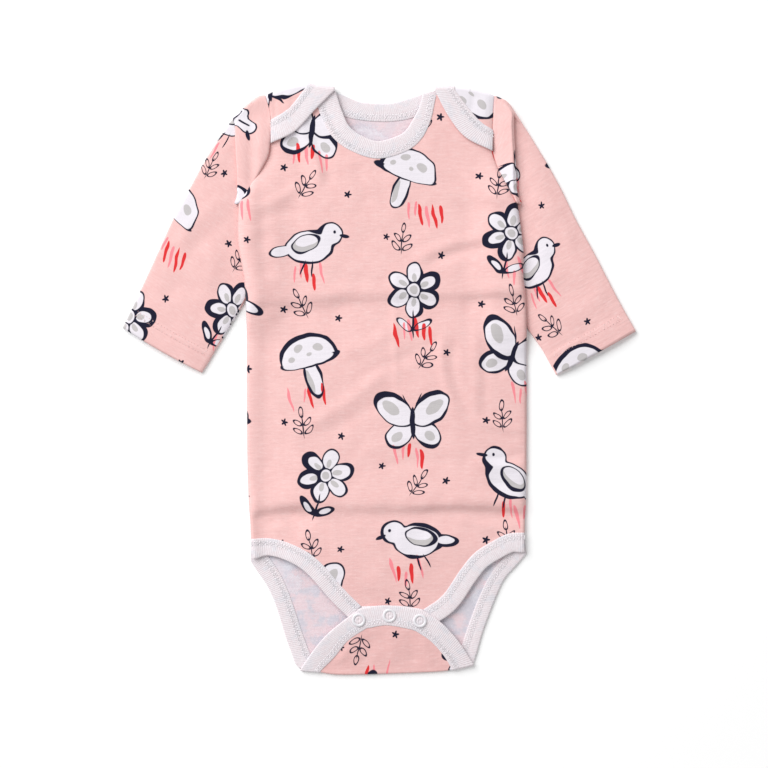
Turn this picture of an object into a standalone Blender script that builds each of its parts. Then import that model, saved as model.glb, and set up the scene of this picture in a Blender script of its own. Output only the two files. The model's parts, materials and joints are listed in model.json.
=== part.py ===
# Baby's long-sleeved bodysuit, laid flat on its back: envelope neck, sleeves turned down
# beside the body, and a crotch flap folded up from the back and snapped onto the front.
# Sizes are in millimetres. +Y runs towards the neck, +Z up from the surface it lies on,
# and left is -X. The origin is under the middle of the back panel.
import math

import bmesh
import bpy
import numpy as np

MM = 0.001

WALL = 1.0  # knit panels
RIB = 1.6  # folded rib binding
GAP = 0.3  # between pieces at a seam, and between layers
NECK_RIB_WIDTH = 11.5
LEG_RIB_WIDTH = {"left": 11.0, "right": 12.2}
TAB_RIB_WIDTH = 11.0
LEG_RIB_AT_SIDE = 13.0
# Section of a rib, flat at the panel and rounded at its own fold: share of width, share of thickness
RIB_SECTION = ((0.0, -0.5), (0.92, -0.5), (1.0, -0.18), (1.0, 0.18), (0.92, 0.5), (0.0, 0.5))
FOLD_STEPS = 4  # faces round a fold
SLEEVE_FOLD_STEPS = 2
SLEEVE_LIFT = 3.2  # the body's sides lie this much higher where the sleeves pass under them
SIDE_ROUND = 24.0  # width over which the front rises from a side edge
CREASE_DEPTH = 0.9
CREASE_WIDTH = 9.0
CREASES = (57.0, -91.0)  # where the front was folded across for packing

SNAPS = {"left": (-20.3, -172.0), "middle": (1.7, -168.9), "right": (23.6, -172.6)}
SNAP_STEPS = 28
# Section of a snap's open ring cap: radius, height
SNAP_SECTION = ((2.9, 0.0), (4.9, 0.0), (4.9, 0.55), (4.4, 1.1), (3.5, 1.1), (2.9, 0.6))

# Height of the front's crown along the body: y, height
CROWN = ((205.0, 1.3), (150.0, 2.2), (40.0, 2.8), (-90.0, 2.4), (-130.0, 1.2), (-165.0, 0.7))

# Grid of the body panels
ARM_ROWS = 8
SIDE_ROWS = 17
SHOULDER_COLS = 3
NECK_COLS = 16
LEG_COLS = 7
CROTCH_COLS = 8
LAP_ROWS = 3
FLAP_ROWS = 5

# Where the sleeves pass under the body. Columns: x where it starts to rise and where it is full,
# y of the upper end of the rise and of its full height, the same for the lower end.
SLEEVE_UNDER = {
    "left": (-62.0, -88.0, 165.0, 130.0, 24.0, 52.0),
    "right": (54.0, 80.0, 165.0, 130.0, 12.0, 40.0),
}
UNDER_FLATTENS = 0.7  # share of the front's crown that is lost over a sleeve
LEG_RIB_UNDER = (-95.0, -110.0)  # y over which the front rises onto the thicker leg binding below it
LAP_AT_SEAM = 1.6  # how far the lap lifts the sleeve's seam at the shoulder
FLAP_CORNER = (1.5, 1.6)  # how far the flap's corners stand off the leg binding's fold
PLEAT_FULL = 3.0  # depth from which a pleat is folded flat
PLEAT_SPREAD = 0.35  # how far apart its layers stand where it only starts

# Armhole seams from the shoulder fold to the armpit: x, y
SEAM = {
    "left": ((-87.0, 202.4), (-84.0, 192.0), (-83.6, 179.4), (-85.0, 165.6), (-90.7, 151.9), (-106.2, 126.7)),
    "right": ((77.2, 202.0), (76.5, 192.2), (76.0, 177.4), (76.3, 164.2), (80.3, 151.2), (93.4, 126.7)),
}

# Side edges from the armpit to the leg: x, y
SIDE = {
    "left": (
        (-106.2, 126.7),
        (-106.6, 100.0),
        (-102.0, 70.0),
        (-100.6, 40.0),
        (-100.1, -57.0),
        (-97.4, -115.5),
    ),
    "right": (
        (93.4, 126.7),
        (97.4, 95.0),
        (97.4, 75.0),
        (99.8, 44.0),
        (100.1, -60.0),
        (98.8, -111.0),
    ),
}

# Shoulder folds from the armhole to the neck edge of the lap: x, y
SHOULDER = {
    "left": ((-87.0, 202.4), (-76.3, 205.8), (-65.2, 208.0), (-56.6, 208.8)),
    "right": ((77.2, 202.0), (70.6, 203.5), (58.0, 206.2), (47.2, 207.2)),
}

# Edge of each lap where its binding starts, from the armhole up to the fold: x, y
LAP_EDGE = {
    "left": ((-83.5, 185.4), (-73.4, 190.9), (-66.2, 197.9), (-58.8, 207.0)),
    "right": ((76.2, 178.0), (67.2, 183.5), (57.8, 194.2), (49.0, 205.0)),
}

# Middle of each front shoulder edge, under the lap: x, y
FRONT_SHOULDER = {"left": (-68.0, 206.0), "right": (57.0, 205.4)}

# Front neckline, left shoulder to right shoulder: x, y
FRONT_NECK = (
    (-51.2, 204.2),
    (-48.6, 196.6),
    (-45.6, 188.4),
    (-39.0, 175.0),
    (-27.0, 165.2),
    (-7.5, 159.0),
    (14.0, 164.4),
    (25.5, 173.8),
    (31.4, 187.0),
    (33.2, 197.0),
    (34.4, 204.4),
)

# Front leg edges from the side down to the tab: x, y
FRONT_LEG = {
    "left": (
        (-97.4, -115.5),
        (-86.0, -115.0),
        (-73.0, -117.6),
        (-58.5, -124.3),
        (-46.8, -133.9),
        (-32.1, -150.8),
        (-18.9, -164.0),
    ),
    "right": (
        (98.8, -111.0),
        (88.0, -111.6),
        (77.3, -116.5),
        (64.0, -125.0),
        (53.7, -137.3),
        (41.0, -155.6),
        (26.6, -166.2),
    ),
}

# End of the front's tab, hidden by the flap, and the crotch fold of the back: x, y
TAB_END = ((-18.9, -164.0), (-7.0, -162.6), (10.0, -162.6), (26.6, -166.2))
CROTCH_FOLD = ((-49.0, -208.4), (-34.0, -209.8), (0.0, -209.0), (33.0, -207.6), (48.0, -206.0))

# Bindings that run over a fold, in flat stretches. Columns: x, y on the panel's edge, x, y on the
# rib's own fold.
BACK_NECK_RIB = {
    "lap left": (
        (-83.5, 185.4, -83.5, 170.0),
        (-73.4, 190.9, -66.2, 178.3),
        (-66.0, 197.8, -51.5, 193.8),
        (-56.6, 208.8, -37.6, 207.2),
    ),
    "neck": (
        (-56.6, 208.8, -37.6, 207.2),
        (-46.5, 200.0, -29.8, 204.2),
        (-30.0, 190.6, -20.0, 200.2),
        (-15.0, 186.8, -10.0, 198.8),
        (3.0, 185.9, 1.0, 198.4),
        (19.0, 189.6, 12.0, 201.0),
        (33.0, 197.4, 24.0, 204.8),
        (47.2, 207.2, 36.0, 207.6),
    ),
    "lap right": (
        (47.2, 207.2, 36.0, 207.6),
        (57.5, 194.0, 43.6, 189.8),
        (67.2, 183.5, 56.2, 174.2),
        (76.2, 178.0, 75.8, 164.4),
    ),
}
BACK_LEG_RIB = {
    "leg left": (
        (-97.4, -115.5, -97.2, -130.0),
        (-85.2, -129.3, -92.6, -135.4),
        (-76.5, -143.3, -84.6, -147.6),
        (-69.8, -159.4, -78.4, -161.2),
        (-62.2, -182.4, -71.6, -183.6),
        (-57.0, -196.0, -66.4, -197.2),
        (-49.0, -208.4, -63.2, -204.4),
    ),
    "flap": (
        (-49.0, -208.4, -63.2, -204.4),
        (-38.4, -197.8, -49.2, -190.6),
        (-29.1, -186.4, -38.8, -178.6),
        (-16.4, -177.6, -22.4, -166.4),
        (0.5, -174.6, 0.2, -162.2),
        (17.5, -177.7, 22.8, -166.2),
        (32.6, -186.8, 40.4, -175.4),
        (41.8, -197.2, 51.4, -187.6),
        (48.0, -206.0, 60.2, -202.8),
    ),
    "leg right": (
        (48.0, -206.0, 60.2, -202.8),
        (54.6, -193.0, 64.9, -194.8),
        (59.6, -178.0, 69.3, -180.1),
        (67.8, -156.0, 78.2, -156.6),
        (75.6, -140.6, 84.5, -143.2),
        (86.0, -126.6, 93.2, -133.3),
        (98.8, -111.0, 100.3, -125.0),
    ),
}

# Fold edge of each sleeve head, shoulder to armpit. Columns: x, y, depth of the pleat under it
# (below 0 the cloth lies open), height of the layer on top, height of the layer between.
PLEAT = {
    "left": (
        (-101.0, 196.0, -6.0, 2.9, 2.4),
        (-106.4, 188.6, -4.0, 3.1, 2.6),
        (-107.5, 180.0, 1.0, 3.9, 3.0),
        (-107.3, 170.6, 4.5, 4.7, 3.2),
        (-107.0, 161.3, 7.0, 4.7, 3.2),
        (-106.6, 151.9, 8.0, 4.7, 3.2),
        (-106.6, 142.6, 6.5, 4.8, 3.2),
        (-107.2, 133.9, 2.5, 4.9, 3.2),
        (-108.3, 126.2, 0.0, 4.7, 3.2),
    ),
    "right": (
        (86.5, 198.2, -3.0, 2.9, 2.4),
        (90.6, 191.6, 3.0, 4.2, 3.0),
        (90.5, 184.0, 6.0, 4.7, 3.2),
        (90.8, 175.0, 8.0, 4.7, 3.2),
        (91.4, 164.9, 9.0, 4.7, 3.2),
        (91.9, 154.1, 8.5, 4.7, 3.2),
        (92.3, 143.3, 6.5, 4.8, 3.2),
        (93.0, 134.6, 2.5, 4.9, 3.2),
        (95.5, 126.2, 0.0, 4.7, 3.2),
    ),
}

# Shoulder line of each sleeve over its head, from the seam to the first section: x, y
HEAD = {
    "left": ((-87.0, 202.4), (-93.2, 201.2), (-102.4, 194.4), (-111.3, 185.5)),
    "right": ((77.2, 202.0), (85.6, 198.4), (93.2, 188.6), (99.8, 178.7)),
}

# Sections of each sleeve, head to cuff. Columns: x, y of the outer edge, x, y of the inner edge,
# crown, share of the width that is clear of the body, bow towards the cuff.
SLEEVE = {
    "left": (
        (-111.3, 185.5, -97.2, 113.8, 0.7, 0.6, 0.0),
        (-119.2, 173.7, -92.6, 103.7, 1.3, 0.6, 0.0),
        (-129.3, 157.9, -91.7, 92.2, 1.8, 0.62, 0.0),
        (-140.8, 137.0, -94.6, 76.3, 2.0, 0.74, 0.0),
        (-152.4, 115.4, -102.5, 58.9, 2.0, 0.94, 0.0),
        (-163.2, 91.7, -112.2, 42.0, 2.0, 1.0, 0.2),
        (-173.2, 70.1, -123.4, 23.6, 1.8, 1.0, 0.4),
        (-181.2, 52.8, -128.4, 15.0, 1.5, 1.0, 0.7),
        (-189.0, 36.8, -134.2, 5.8, 0.9, 1.0, 1.0),
    ),
    "right": (
        (99.8, 178.7, 88.0, 112.0, 0.7, 0.6, 0.0),
        (106.3, 168.0, 83.5, 101.0, 1.3, 0.5, 0.0),
        (114.9, 153.6, 82.0, 88.0, 1.8, 0.5, 0.0),
        (124.3, 136.3, 85.0, 71.0, 2.0, 0.66, 0.0),
        (135.1, 114.0, 93.0, 54.5, 2.0, 0.84, 0.0),
        (147.3, 91.7, 101.5, 38.5, 2.0, 1.0, 0.1),
        (158.1, 70.8, 111.9, 23.6, 1.8, 1.0, 0.2),
        (166.8, 54.2, 117.6, 13.5, 1.5, 1.0, 0.3),
        (177.9, 34.4, 122.8, 4.2, 0.9, 1.0, 0.3),
    ),
}
PLEAT_ROWS = 8  # rows of the sleeve from its seam to its first section

PINK = (0.91, 0.60, 0.57)
WHITE = (0.86, 0.79, 0.81)
SNAP_WHITE = (0.88, 0.84, 0.86)


UP = np.array((0.0, 0.0, 1.0))


def unit(v):
    return v / np.linalg.norm(v)


def smooth(points, count):
    """Catmull-Rom curve through the rows, cut into count even steps along its first two columns."""
    points = np.array(points, float)
    ends = np.vstack([2 * points[0] - points[1], points, 2 * points[-1] - points[-2]])
    t = np.linspace(0, 1, 12, endpoint=False)[:, None]
    dense = []
    for a, b, c, d in zip(ends, ends[1:], ends[2:], ends[3:]):
        square = 2 * a - 5 * b + 4 * c - d
        cube = 3 * b - a - 3 * c + d
        dense.append(b + 0.5 * ((c - a) * t + square * t**2 + cube * t**3))
    dense = np.vstack(dense + [points[-1:]])
    steps = np.linalg.norm(np.diff(dense[:, :2], axis=0), axis=1)
    along = np.concatenate([[0], np.cumsum(steps)])
    wanted = np.linspace(0, along[-1], count + 1)
    return np.column_stack([np.interp(wanted, along, column) for column in dense.T])


def patch(top, bottom, left, right):
    """Coons patch between four edges that share corners, as rows from top to bottom."""
    v = np.linspace(0, 1, len(left))[:, None, None]
    u = np.linspace(0, 1, len(top))[None, :, None]
    across = (1 - v) * top[None] + v * bottom[None]
    down = (1 - u) * left[:, None] + u * right[:, None]
    top_line = (1 - u) * top[0] + u * top[-1]
    bottom_line = (1 - u) * bottom[0] + u * bottom[-1]
    return across + down - (1 - v) * top_line - v * bottom_line


def ramp(value, low, high):
    """0 at low, 1 at high, eased between; low may be above high."""
    t = np.clip((value - low) / (high - low), 0, 1)
    return t * t * (3 - 2 * t)


# Armhole and side of the body panels, from the shoulder to the leg
EDGE = {side: np.vstack([smooth(SEAM[side], ARM_ROWS), smooth(SIDE[side], SIDE_ROWS)[1:]]) for side in SEAM}


def edge_x(side, y):
    return np.interp(y, EDGE[side][::-1, 1], EDGE[side][::-1, 0])


def lift(x, y):
    """How far a sleeve that passes under it raises the body."""
    shares = []
    for start, full, high, high_full, low, low_full in SLEEVE_UNDER.values():
        shares.append(ramp(x, start, full) * ramp(y, high, high_full) * ramp(y, low, low_full))
    return SLEEVE_LIFT * np.maximum(*shares)


def crown(x, y):
    """How far the front stands off the back."""
    from_side = np.minimum(x - edge_x("left", y), edge_x("right", y) - x)
    full = np.interp(y, [row[0] for row in CROWN][::-1], [row[1] for row in CROWN][::-1])
    for at in CREASES:
        full = full - CREASE_DEPTH * np.exp(-(((y - at) / CREASE_WIDTH) ** 2))
    return full * ramp(from_side, 0, SIDE_ROUND)


def back_height(x, y):
    return WALL / 2 + lift(x, y)


def front_height(x, y):
    raised_share = lift(x, y) / SLEEVE_LIFT
    over_leg_rib = (RIB - WALL) * ramp(y, *LEG_RIB_UNDER)
    own_crown = crown(x, y) * (1 - UNDER_FLATTENS * raised_share)
    return back_height(x, y) + WALL + GAP + over_leg_rib + own_crown


def over_height(x, y):
    """The laps and the flap, which lie on the front and its bindings."""
    return front_height(x, y) + RIB + GAP


def raised(points, height):
    """Adds the height function's z to x, y points."""
    return np.concatenate([points, height(points[..., 0], points[..., 1])[..., None]], axis=-1)


def bend(low, high, outwards, steps=FOLD_STEPS):
    """Points round a fold from the lower layer to the upper one, without its two ends."""
    radius = (high[2] - low[2]) / 2
    turned = []
    for step in range(1, steps):
        angle = math.pi * step / steps
        share = (1 - math.cos(angle)) / 2
        point = low + (high - low) * share
        point[:2] += outwards * radius * math.sin(angle)
        turned.append(point)
    return turned


def material(name, colour, roughness):
    made = bpy.data.materials.new(name)
    made.use_nodes = True
    shader = made.node_tree.nodes["Principled BSDF"]
    shader.inputs["Base Color"].default_value = (*colour, 1)
    shader.inputs["Roughness"].default_value = roughness
    shader.inputs["Metallic"].default_value = 0.0
    made.diffuse_color = (*colour, 1)
    return made


def add_object(name, mesh_data, look):
    mesh = bpy.data.meshes.new(name)
    bmesh.ops.recalc_face_normals(mesh_data, faces=mesh_data.faces)
    mesh_data.to_mesh(mesh)
    mesh_data.free()
    mesh.materials.append(look)
    obj = bpy.data.objects.new(name, mesh)
    bpy.context.scene.collection.objects.link(obj)
    mesh.shade_smooth()
    return obj


def add_grid(mesh_data, rows):
    """Quads between rows of points; an entry that is already a vertex is shared."""
    verts = []
    for row in rows:
        verts.append([p if isinstance(p, bmesh.types.BMVert) else mesh_data.verts.new(p * MM) for p in row])
    for one, two in zip(verts, verts[1:]):
        for a, b, c, d in zip(one, one[1:], two[1:], two):
            mesh_data.faces.new((a, b, c, d))
    return verts


def add_band(mesh_data, one, two):
    """Quads between two closed rings."""
    for i in range(len(one)):
        mesh_data.faces.new((one[i - 1], one[i], two[i], two[i - 1]))


def add_wall(name, mesh_data, look):
    """Gives a middle surface its thickness."""
    obj = add_object(name, mesh_data, look)
    solid = obj.modifiers.new("knit", "SOLIDIFY")
    solid.thickness = WALL * MM
    solid.offset = 0
    return obj


def make_front(look):
    top = np.vstack([
        smooth((SEAM["left"][0], FRONT_SHOULDER["left"], FRONT_NECK[0]), SHOULDER_COLS),
        smooth(FRONT_NECK, NECK_COLS)[1:],
        smooth((FRONT_NECK[-1], FRONT_SHOULDER["right"], SEAM["right"][0]), SHOULDER_COLS)[1:],
    ])
    bottom = np.vstack([
        smooth(FRONT_LEG["left"], LEG_COLS),
        smooth(TAB_END, CROTCH_COLS)[1:],
        smooth(FRONT_LEG["right"][::-1], LEG_COLS)[1:],
    ])
    mesh_data = bmesh.new()
    add_grid(mesh_data, raised(patch(top, bottom, EDGE["left"], EDGE["right"]), front_height))
    return add_wall("front", mesh_data, look)


def lap_outwards(side, share):
    """Direction in which the shoulder fold bulges, from the armhole (0) to the neck (1)."""
    at_seam = unit(EDGE[side][0] - EDGE[side][1])
    return unit(at_seam * (1 - share) + np.array((0.0, 1.0)) * share)


def add_lap(mesh_data, side, fold_verts, fold_points):
    """The back's shoulder, folded over its front edge; columns run from the armhole to the neck."""
    seam = smooth(SEAM[side], ARM_ROWS * 4)
    hem = smooth(LAP_EDGE[side], SHOULDER_COLS)
    arm_side = smooth(seam[seam[:, 1] >= LAP_EDGE[side][0][1] - GAP], LAP_ROWS)
    arm_side[-1] = hem[0]
    neck_side = np.linspace(fold_points[-1], hem[-1], LAP_ROWS + 1)
    lap = raised(patch(fold_points, hem, arm_side, neck_side), over_height)
    turn = []
    for column in range(SHOULDER_COLS + 1):
        low = raised(fold_points[column], back_height)
        turn.append(bend(low, lap[0, column], lap_outwards(side, column / SHOULDER_COLS)))
    add_grid(mesh_data, [fold_verts, *np.array(turn).transpose(1, 0, 2), *lap])


def add_flap(mesh_data, fold_verts, fold_points):
    hem = smooth([row[:2] for row in BACK_LEG_RIB["flap"]], CROTCH_COLS)
    in_x, in_y = FLAP_CORNER
    left = np.linspace(fold_points[0], hem[0] + (in_x, in_y), FLAP_ROWS + 1)
    right = np.linspace(fold_points[-1], hem[-1] + (-in_x, in_y), FLAP_ROWS + 1)
    hem[0] = left[-1]
    hem[-1] = right[-1]
    flap = raised(patch(fold_points, hem, left, right), over_height)
    turn = []
    for column, point in enumerate(fold_points):
        turn.append(bend(raised(point, back_height), flap[0, column], np.array((0.0, -1.0))))
    add_grid(mesh_data, [fold_verts, *np.array(turn).transpose(1, 0, 2), *flap])


def make_back(look):
    shoulders = {side: smooth(SHOULDER[side], SHOULDER_COLS) for side in SHOULDER}
    fold = smooth(CROTCH_FOLD, CROTCH_COLS)
    top = np.vstack([
        shoulders["left"],
        smooth([row[:2] for row in BACK_NECK_RIB["neck"]], NECK_COLS)[1:],
        shoulders["right"][::-1][1:],
    ])
    bottom = np.vstack([
        smooth([row[:2] for row in BACK_LEG_RIB["leg left"]], LEG_COLS),
        fold[1:],
        smooth([row[:2] for row in BACK_LEG_RIB["leg right"]], LEG_COLS)[1:],
    ])
    mesh_data = bmesh.new()
    verts = add_grid(mesh_data, raised(patch(top, bottom, EDGE["left"], EDGE["right"]), back_height))
    add_lap(mesh_data, "left", verts[0][: SHOULDER_COLS + 1], shoulders["left"])
    add_lap(mesh_data, "right", verts[0][: -SHOULDER_COLS - 2 : -1], shoulders["right"])
    add_flap(mesh_data, verts[-1][LEG_COLS : LEG_COLS + CROTCH_COLS + 1], fold)
    return add_wall("back", mesh_data, look)


def pleat_chain(start, fold, depth, heights):
    """Points of a sleeve head from its seam over the fold edge, back under it and out again."""
    base, top, middle, low = heights
    turn = (middle - low) / 2
    reach = np.linalg.norm(fold - start)
    crease = reach - depth
    folded = np.clip(depth / PLEAT_FULL, -1, 1)
    spread = PLEAT_SPREAD * (1 - abs(folded))
    along = (
        (GAP, base),
        (reach / 2, (base + top) / 2),
        (reach - turn, top),
        (reach, (top + middle) / 2),
        (reach - turn * folded, middle + spread),
        (crease + turn * folded, middle - spread),
        (crease, (middle + low) / 2),
        (crease + turn, low),
    )
    outwards = unit(fold - start)
    return [np.array((*(start + outwards * s), z)) for s, z in along]


def make_sleeve(side, look):
    seam = EDGE[side][: ARM_ROWS + 1]
    flat_low = WALL / 2
    flat_top = WALL * 1.5 + GAP
    share = np.linspace(0, 1, ARM_ROWS + 1)
    sections = np.array(SLEEVE[side])
    upper = np.zeros((PLEAT_ROWS + len(sections), ARM_ROWS + 1, 3))
    lower = np.zeros_like(upper)

    for row, (ox, oy, ix, iy, height, clear, bow) in enumerate(sections, PLEAT_ROWS):
        outer, inner = np.array((ox, oy)), np.array((ix, iy))
        plan = outer + (inner - outer) * share[:, None]
        down = unit(np.array((oy - iy, ix - ox)) * (1 if side == "right" else -1))
        plan = plan + down * (bow * 4 * share * (1 - share))[:, None]
        arch = np.sqrt(np.clip(4 * share / clear * (1 - share / clear), 0, 1))
        upper[row, :, :2] = lower[row, :, :2] = plan
        upper[row, :, 2] = flat_top + height * arch
        lower[row, :, 2] = flat_low

    head = smooth(HEAD[side], PLEAT_ROWS)
    for station, (fx, fy, depth, top, middle) in enumerate(PLEAT[side]):
        start = seam[station]
        base = front_height(*start) + LAP_AT_SEAM * (1 - ramp(station, 1, 3))
        chain = pleat_chain(start, np.array((fx, fy)), depth, (base, top, middle, flat_top))
        first = unit(np.array((fx, fy)) - start) * GAP + start
        for row in range(PLEAT_ROWS):
            part = row / PLEAT_ROWS
            if station == 0:
                outer = head[row] + (first - start) * (1 - part)
                upper[row, 0] = (*outer, base + (flat_top - base) * part)
                lower[row, 0] = (*outer, flat_low)
            else:
                upper[row, station] = chain[row]
                lower[row, station] = (*(first + (lower[PLEAT_ROWS, station, :2] - first) * part), flat_low)

    mesh_data = bmesh.new()
    loops = []
    for row in range(len(upper)):
        outwards = unit(upper[row, 0, :2] - lower[row, 1, :2])
        outer_turn = bend(lower[row, 0], upper[row, 0], outwards, SLEEVE_FOLD_STEPS)
        around = [*upper[row, ::-1], *outer_turn[::-1], *lower[row]]
        if row >= PLEAT_ROWS:
            inwards = unit(lower[row, -1, :2] - lower[row, -2, :2])
            around += bend(lower[row, -1], upper[row, -1], inwards, SLEEVE_FOLD_STEPS)
        loops.append([mesh_data.verts.new(p * MM) for p in around])
    for one, two in zip(loops, loops[1:]):
        for i in range(len(one) - 1):
            mesh_data.faces.new((one[i], one[i + 1], two[i + 1], two[i]))
        if len(one) > 2 * ARM_ROWS + 1 + SLEEVE_FOLD_STEPS:
            mesh_data.faces.new((one[-1], one[0], two[0], two[-1]))
    return add_wall("sleeve_" + side, mesh_data, look)


def add_strip(name, sections, look):
    """A folded rib strip: each section is its panel side, its folded side and its upward direction."""
    mesh_data = bmesh.new()
    rings = []
    for inner, outer, normal in sections:
        start = inner + unit(outer - inner) * GAP
        ring = [start + (outer - start) * across + normal * RIB * height for across, height in RIB_SECTION]
        rings.append([mesh_data.verts.new(point * MM) for point in ring])
    for one, two in zip(rings, rings[1:]):
        add_band(mesh_data, one, two)
    mesh_data.faces.new(rings[0][::-1])
    mesh_data.faces.new(rings[-1])
    return add_object(name, mesh_data, look)


def rib_height(height):
    """A rib's middle: its underside is level with the panel's."""
    return lambda x, y: height(x, y) + (RIB - WALL) / 2


def on_chords(rows):
    """Puts every second row on the straight line between its neighbours, as the panel's own edge is."""
    rows[1:-1:2] = (rows[:-2:2] + rows[2::2]) / 2
    return rows


def edge_strip(points, count, width, side_sign, height, first_width=None):
    """Sections of a rib that runs along one edge of a panel, on its left (1) or right (-1)."""
    edge = smooth(points, 2 * count)
    along = np.gradient(edge, axis=0)
    across = np.column_stack([-along[:, 1], along[:, 0]]) * side_sign
    across /= np.linalg.norm(across, axis=1)[:, None]
    widths = np.full(len(edge), float(width))
    if first_width:
        widths[0] = first_width
    outer = edge + across * widths[:, None]
    middle = rib_height(height)
    inner = on_chords(raised(edge, middle))
    outer = np.column_stack([outer, inner[:, 2]])
    return [(a, b, UP) for a, b in zip(inner, outer)]


def stretch(rows, count, height, face):
    """Sections of one flat stretch of a rib that runs over a fold."""
    rows = smooth(rows, 2 * count)
    middle = rib_height(height)
    inner = on_chords(raised(rows[:, :2], middle))
    outer = raised(rows[:, 2:], middle)
    return [(a, b, UP * face) for a, b in zip(inner, outer)]


def turn_sections(one, two, outwards):
    """Sections round a fold between the ends of two stretches."""
    low, high = (one, two) if one[0][2] < two[0][2] else (two, one)
    inner = bend(low[0], high[0], outwards)
    outer = bend(low[1], high[1], outwards)
    made = []
    for step in range(1, FOLD_STEPS):
        angle = math.pi * step / FOLD_STEPS
        normal = np.array((*(outwards * math.sin(angle)), -math.cos(angle)))
        made.append((inner[step - 1], outer[step - 1], normal))
    return made if low is one else made[::-1]


def folded_strip(name, stretches, outwards, look):
    """Joins flat stretches with the turns between them."""
    sections = list(stretches[0])
    for following in stretches[1:]:
        sections += turn_sections(sections[-1], following[0], outwards)
        sections += following
    return add_strip(name, sections, look)


def make_neck_bindings(look):
    front = edge_strip(FRONT_NECK, NECK_COLS, NECK_RIB_WIDTH, 1, front_height)
    add_strip("neck_binding_front", front, look)
    folded_strip(
        "neck_binding_back",
        [
            stretch(BACK_NECK_RIB["lap left"], SHOULDER_COLS, over_height, 1),
            stretch(BACK_NECK_RIB["neck"], NECK_COLS, back_height, -1),
            stretch(BACK_NECK_RIB["lap right"], SHOULDER_COLS, over_height, 1),
        ],
        np.array((0.0, 1.0)),
        look,
    )


def make_leg_bindings(look):
    for side, sign in (("left", -1), ("right", 1)):
        width = LEG_RIB_WIDTH[side]
        sections = edge_strip(FRONT_LEG[side], LEG_COLS, width, sign, front_height, LEG_RIB_AT_SIDE)
        add_strip("leg_binding_front_" + side, sections, look)
    tab = edge_strip(TAB_END, CROTCH_COLS, TAB_RIB_WIDTH, -1, front_height)
    add_strip("tab_binding", tab[1:-1], look)
    folded_strip(
        "leg_binding_back",
        [
            stretch(BACK_LEG_RIB["leg left"], LEG_COLS, back_height, -1),
            stretch(BACK_LEG_RIB["flap"], CROTCH_COLS, over_height, 1),
            stretch(BACK_LEG_RIB["leg right"], LEG_COLS, back_height, -1),
        ],
        np.array((0.0, -1.0)),
        look,
    )


def make_snaps(look):
    """Open ring caps on the flap's binding."""
    for place, (x, y) in SNAPS.items():
        bottom = over_height(x, y) - WALL / 2 + RIB + GAP
        mesh_data = bmesh.new()
        rings = []
        for step in range(SNAP_STEPS):
            angle = 2 * math.pi * step / SNAP_STEPS
            ring = []
            for radius, height in SNAP_SECTION:
                point = (x + radius * math.cos(angle), y + radius * math.sin(angle), bottom + height)
                ring.append(mesh_data.verts.new(np.array(point) * MM))
            rings.append(ring)
        for step in range(SNAP_STEPS):
            add_band(mesh_data, rings[step - 1], rings[step])
        add_object("snap_ring_" + place, mesh_data, look)


def main():
    for obj in list(bpy.data.objects):
        bpy.data.objects.remove(obj)
    knit = material("pink_knit", PINK, 0.9)
    rib = material("white_rib", WHITE, 0.9)
    snap = material("snap_white", SNAP_WHITE, 0.35)
    make_back(knit)
    make_front(knit)
    make_sleeve("left", knit)
    make_sleeve("right", knit)
    make_neck_bindings(rib)
    make_leg_bindings(rib)
    make_snaps(snap)


main()
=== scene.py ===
# Baby's long-sleeved bodysuit laid flat: printed knit panels, rib bindings, stitching and snaps.
import functools
import json
import math

import bmesh
import bpy
import numpy as np
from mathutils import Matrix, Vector

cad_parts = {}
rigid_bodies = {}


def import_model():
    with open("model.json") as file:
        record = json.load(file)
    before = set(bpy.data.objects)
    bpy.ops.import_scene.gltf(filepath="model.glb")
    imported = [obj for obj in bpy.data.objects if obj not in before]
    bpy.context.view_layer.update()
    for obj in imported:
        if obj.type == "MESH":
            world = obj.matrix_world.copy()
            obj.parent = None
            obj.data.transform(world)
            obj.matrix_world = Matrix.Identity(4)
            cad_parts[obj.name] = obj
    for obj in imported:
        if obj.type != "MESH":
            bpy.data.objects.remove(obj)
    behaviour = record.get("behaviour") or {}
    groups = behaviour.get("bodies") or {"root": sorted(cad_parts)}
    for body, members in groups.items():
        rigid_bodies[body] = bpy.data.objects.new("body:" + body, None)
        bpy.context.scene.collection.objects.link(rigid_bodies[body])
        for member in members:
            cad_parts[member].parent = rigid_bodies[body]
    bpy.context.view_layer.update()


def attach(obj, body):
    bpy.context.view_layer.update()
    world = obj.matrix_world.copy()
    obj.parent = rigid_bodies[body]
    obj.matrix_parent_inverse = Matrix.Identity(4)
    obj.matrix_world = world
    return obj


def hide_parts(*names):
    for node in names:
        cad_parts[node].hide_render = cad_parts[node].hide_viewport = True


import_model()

mm = 0.001
up = np.array((0.0, 0.0, 1.0))
towardsNeck = np.array((0.0, 1.0))

cloth = {
    "wall": 1.0,  # knit, mm
    "rib": 1.6,  # folded rib binding, mm
    "gap": 0.3,  # between two layers
    "foldSteps": 12,  # round a fold
    "sleeveLift": 4.2,  # how far a sleeve under the body's side raises it
    "fine": 7,  # steps of the grid for each row or column of the plain form
    "merge": 2e-6,  # points nearer than this become one, m
    "curveSteps": 12,  # between two points of an outline, before it is cut into even steps
}
fine = cloth["fine"]

# Outlines of the body: x, y in mm, y towards the neck
seam = {
    "left": ((-87.0, 202.4), (-84.0, 192.0), (-83.6, 179.4), (-85.0, 165.6), (-90.7, 151.9), (-106.2, 126.7)),
    "right": ((77.2, 202.0), (76.5, 192.2), (76.0, 177.4), (76.3, 164.2), (80.3, 151.2), (93.4, 126.7)),
}
side = {
    "left": ((-106.2, 126.7), (-106.6, 100), (-102, 70), (-100.6, 40), (-100.1, -57), (-97.4, -115.5)),
    "right": ((93.4, 126.7), (97.4, 95), (97.4, 75), (99.8, 44), (100.1, -60), (98.8, -111)),
}


def unit(v):
    return v / np.linalg.norm(v)


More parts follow.
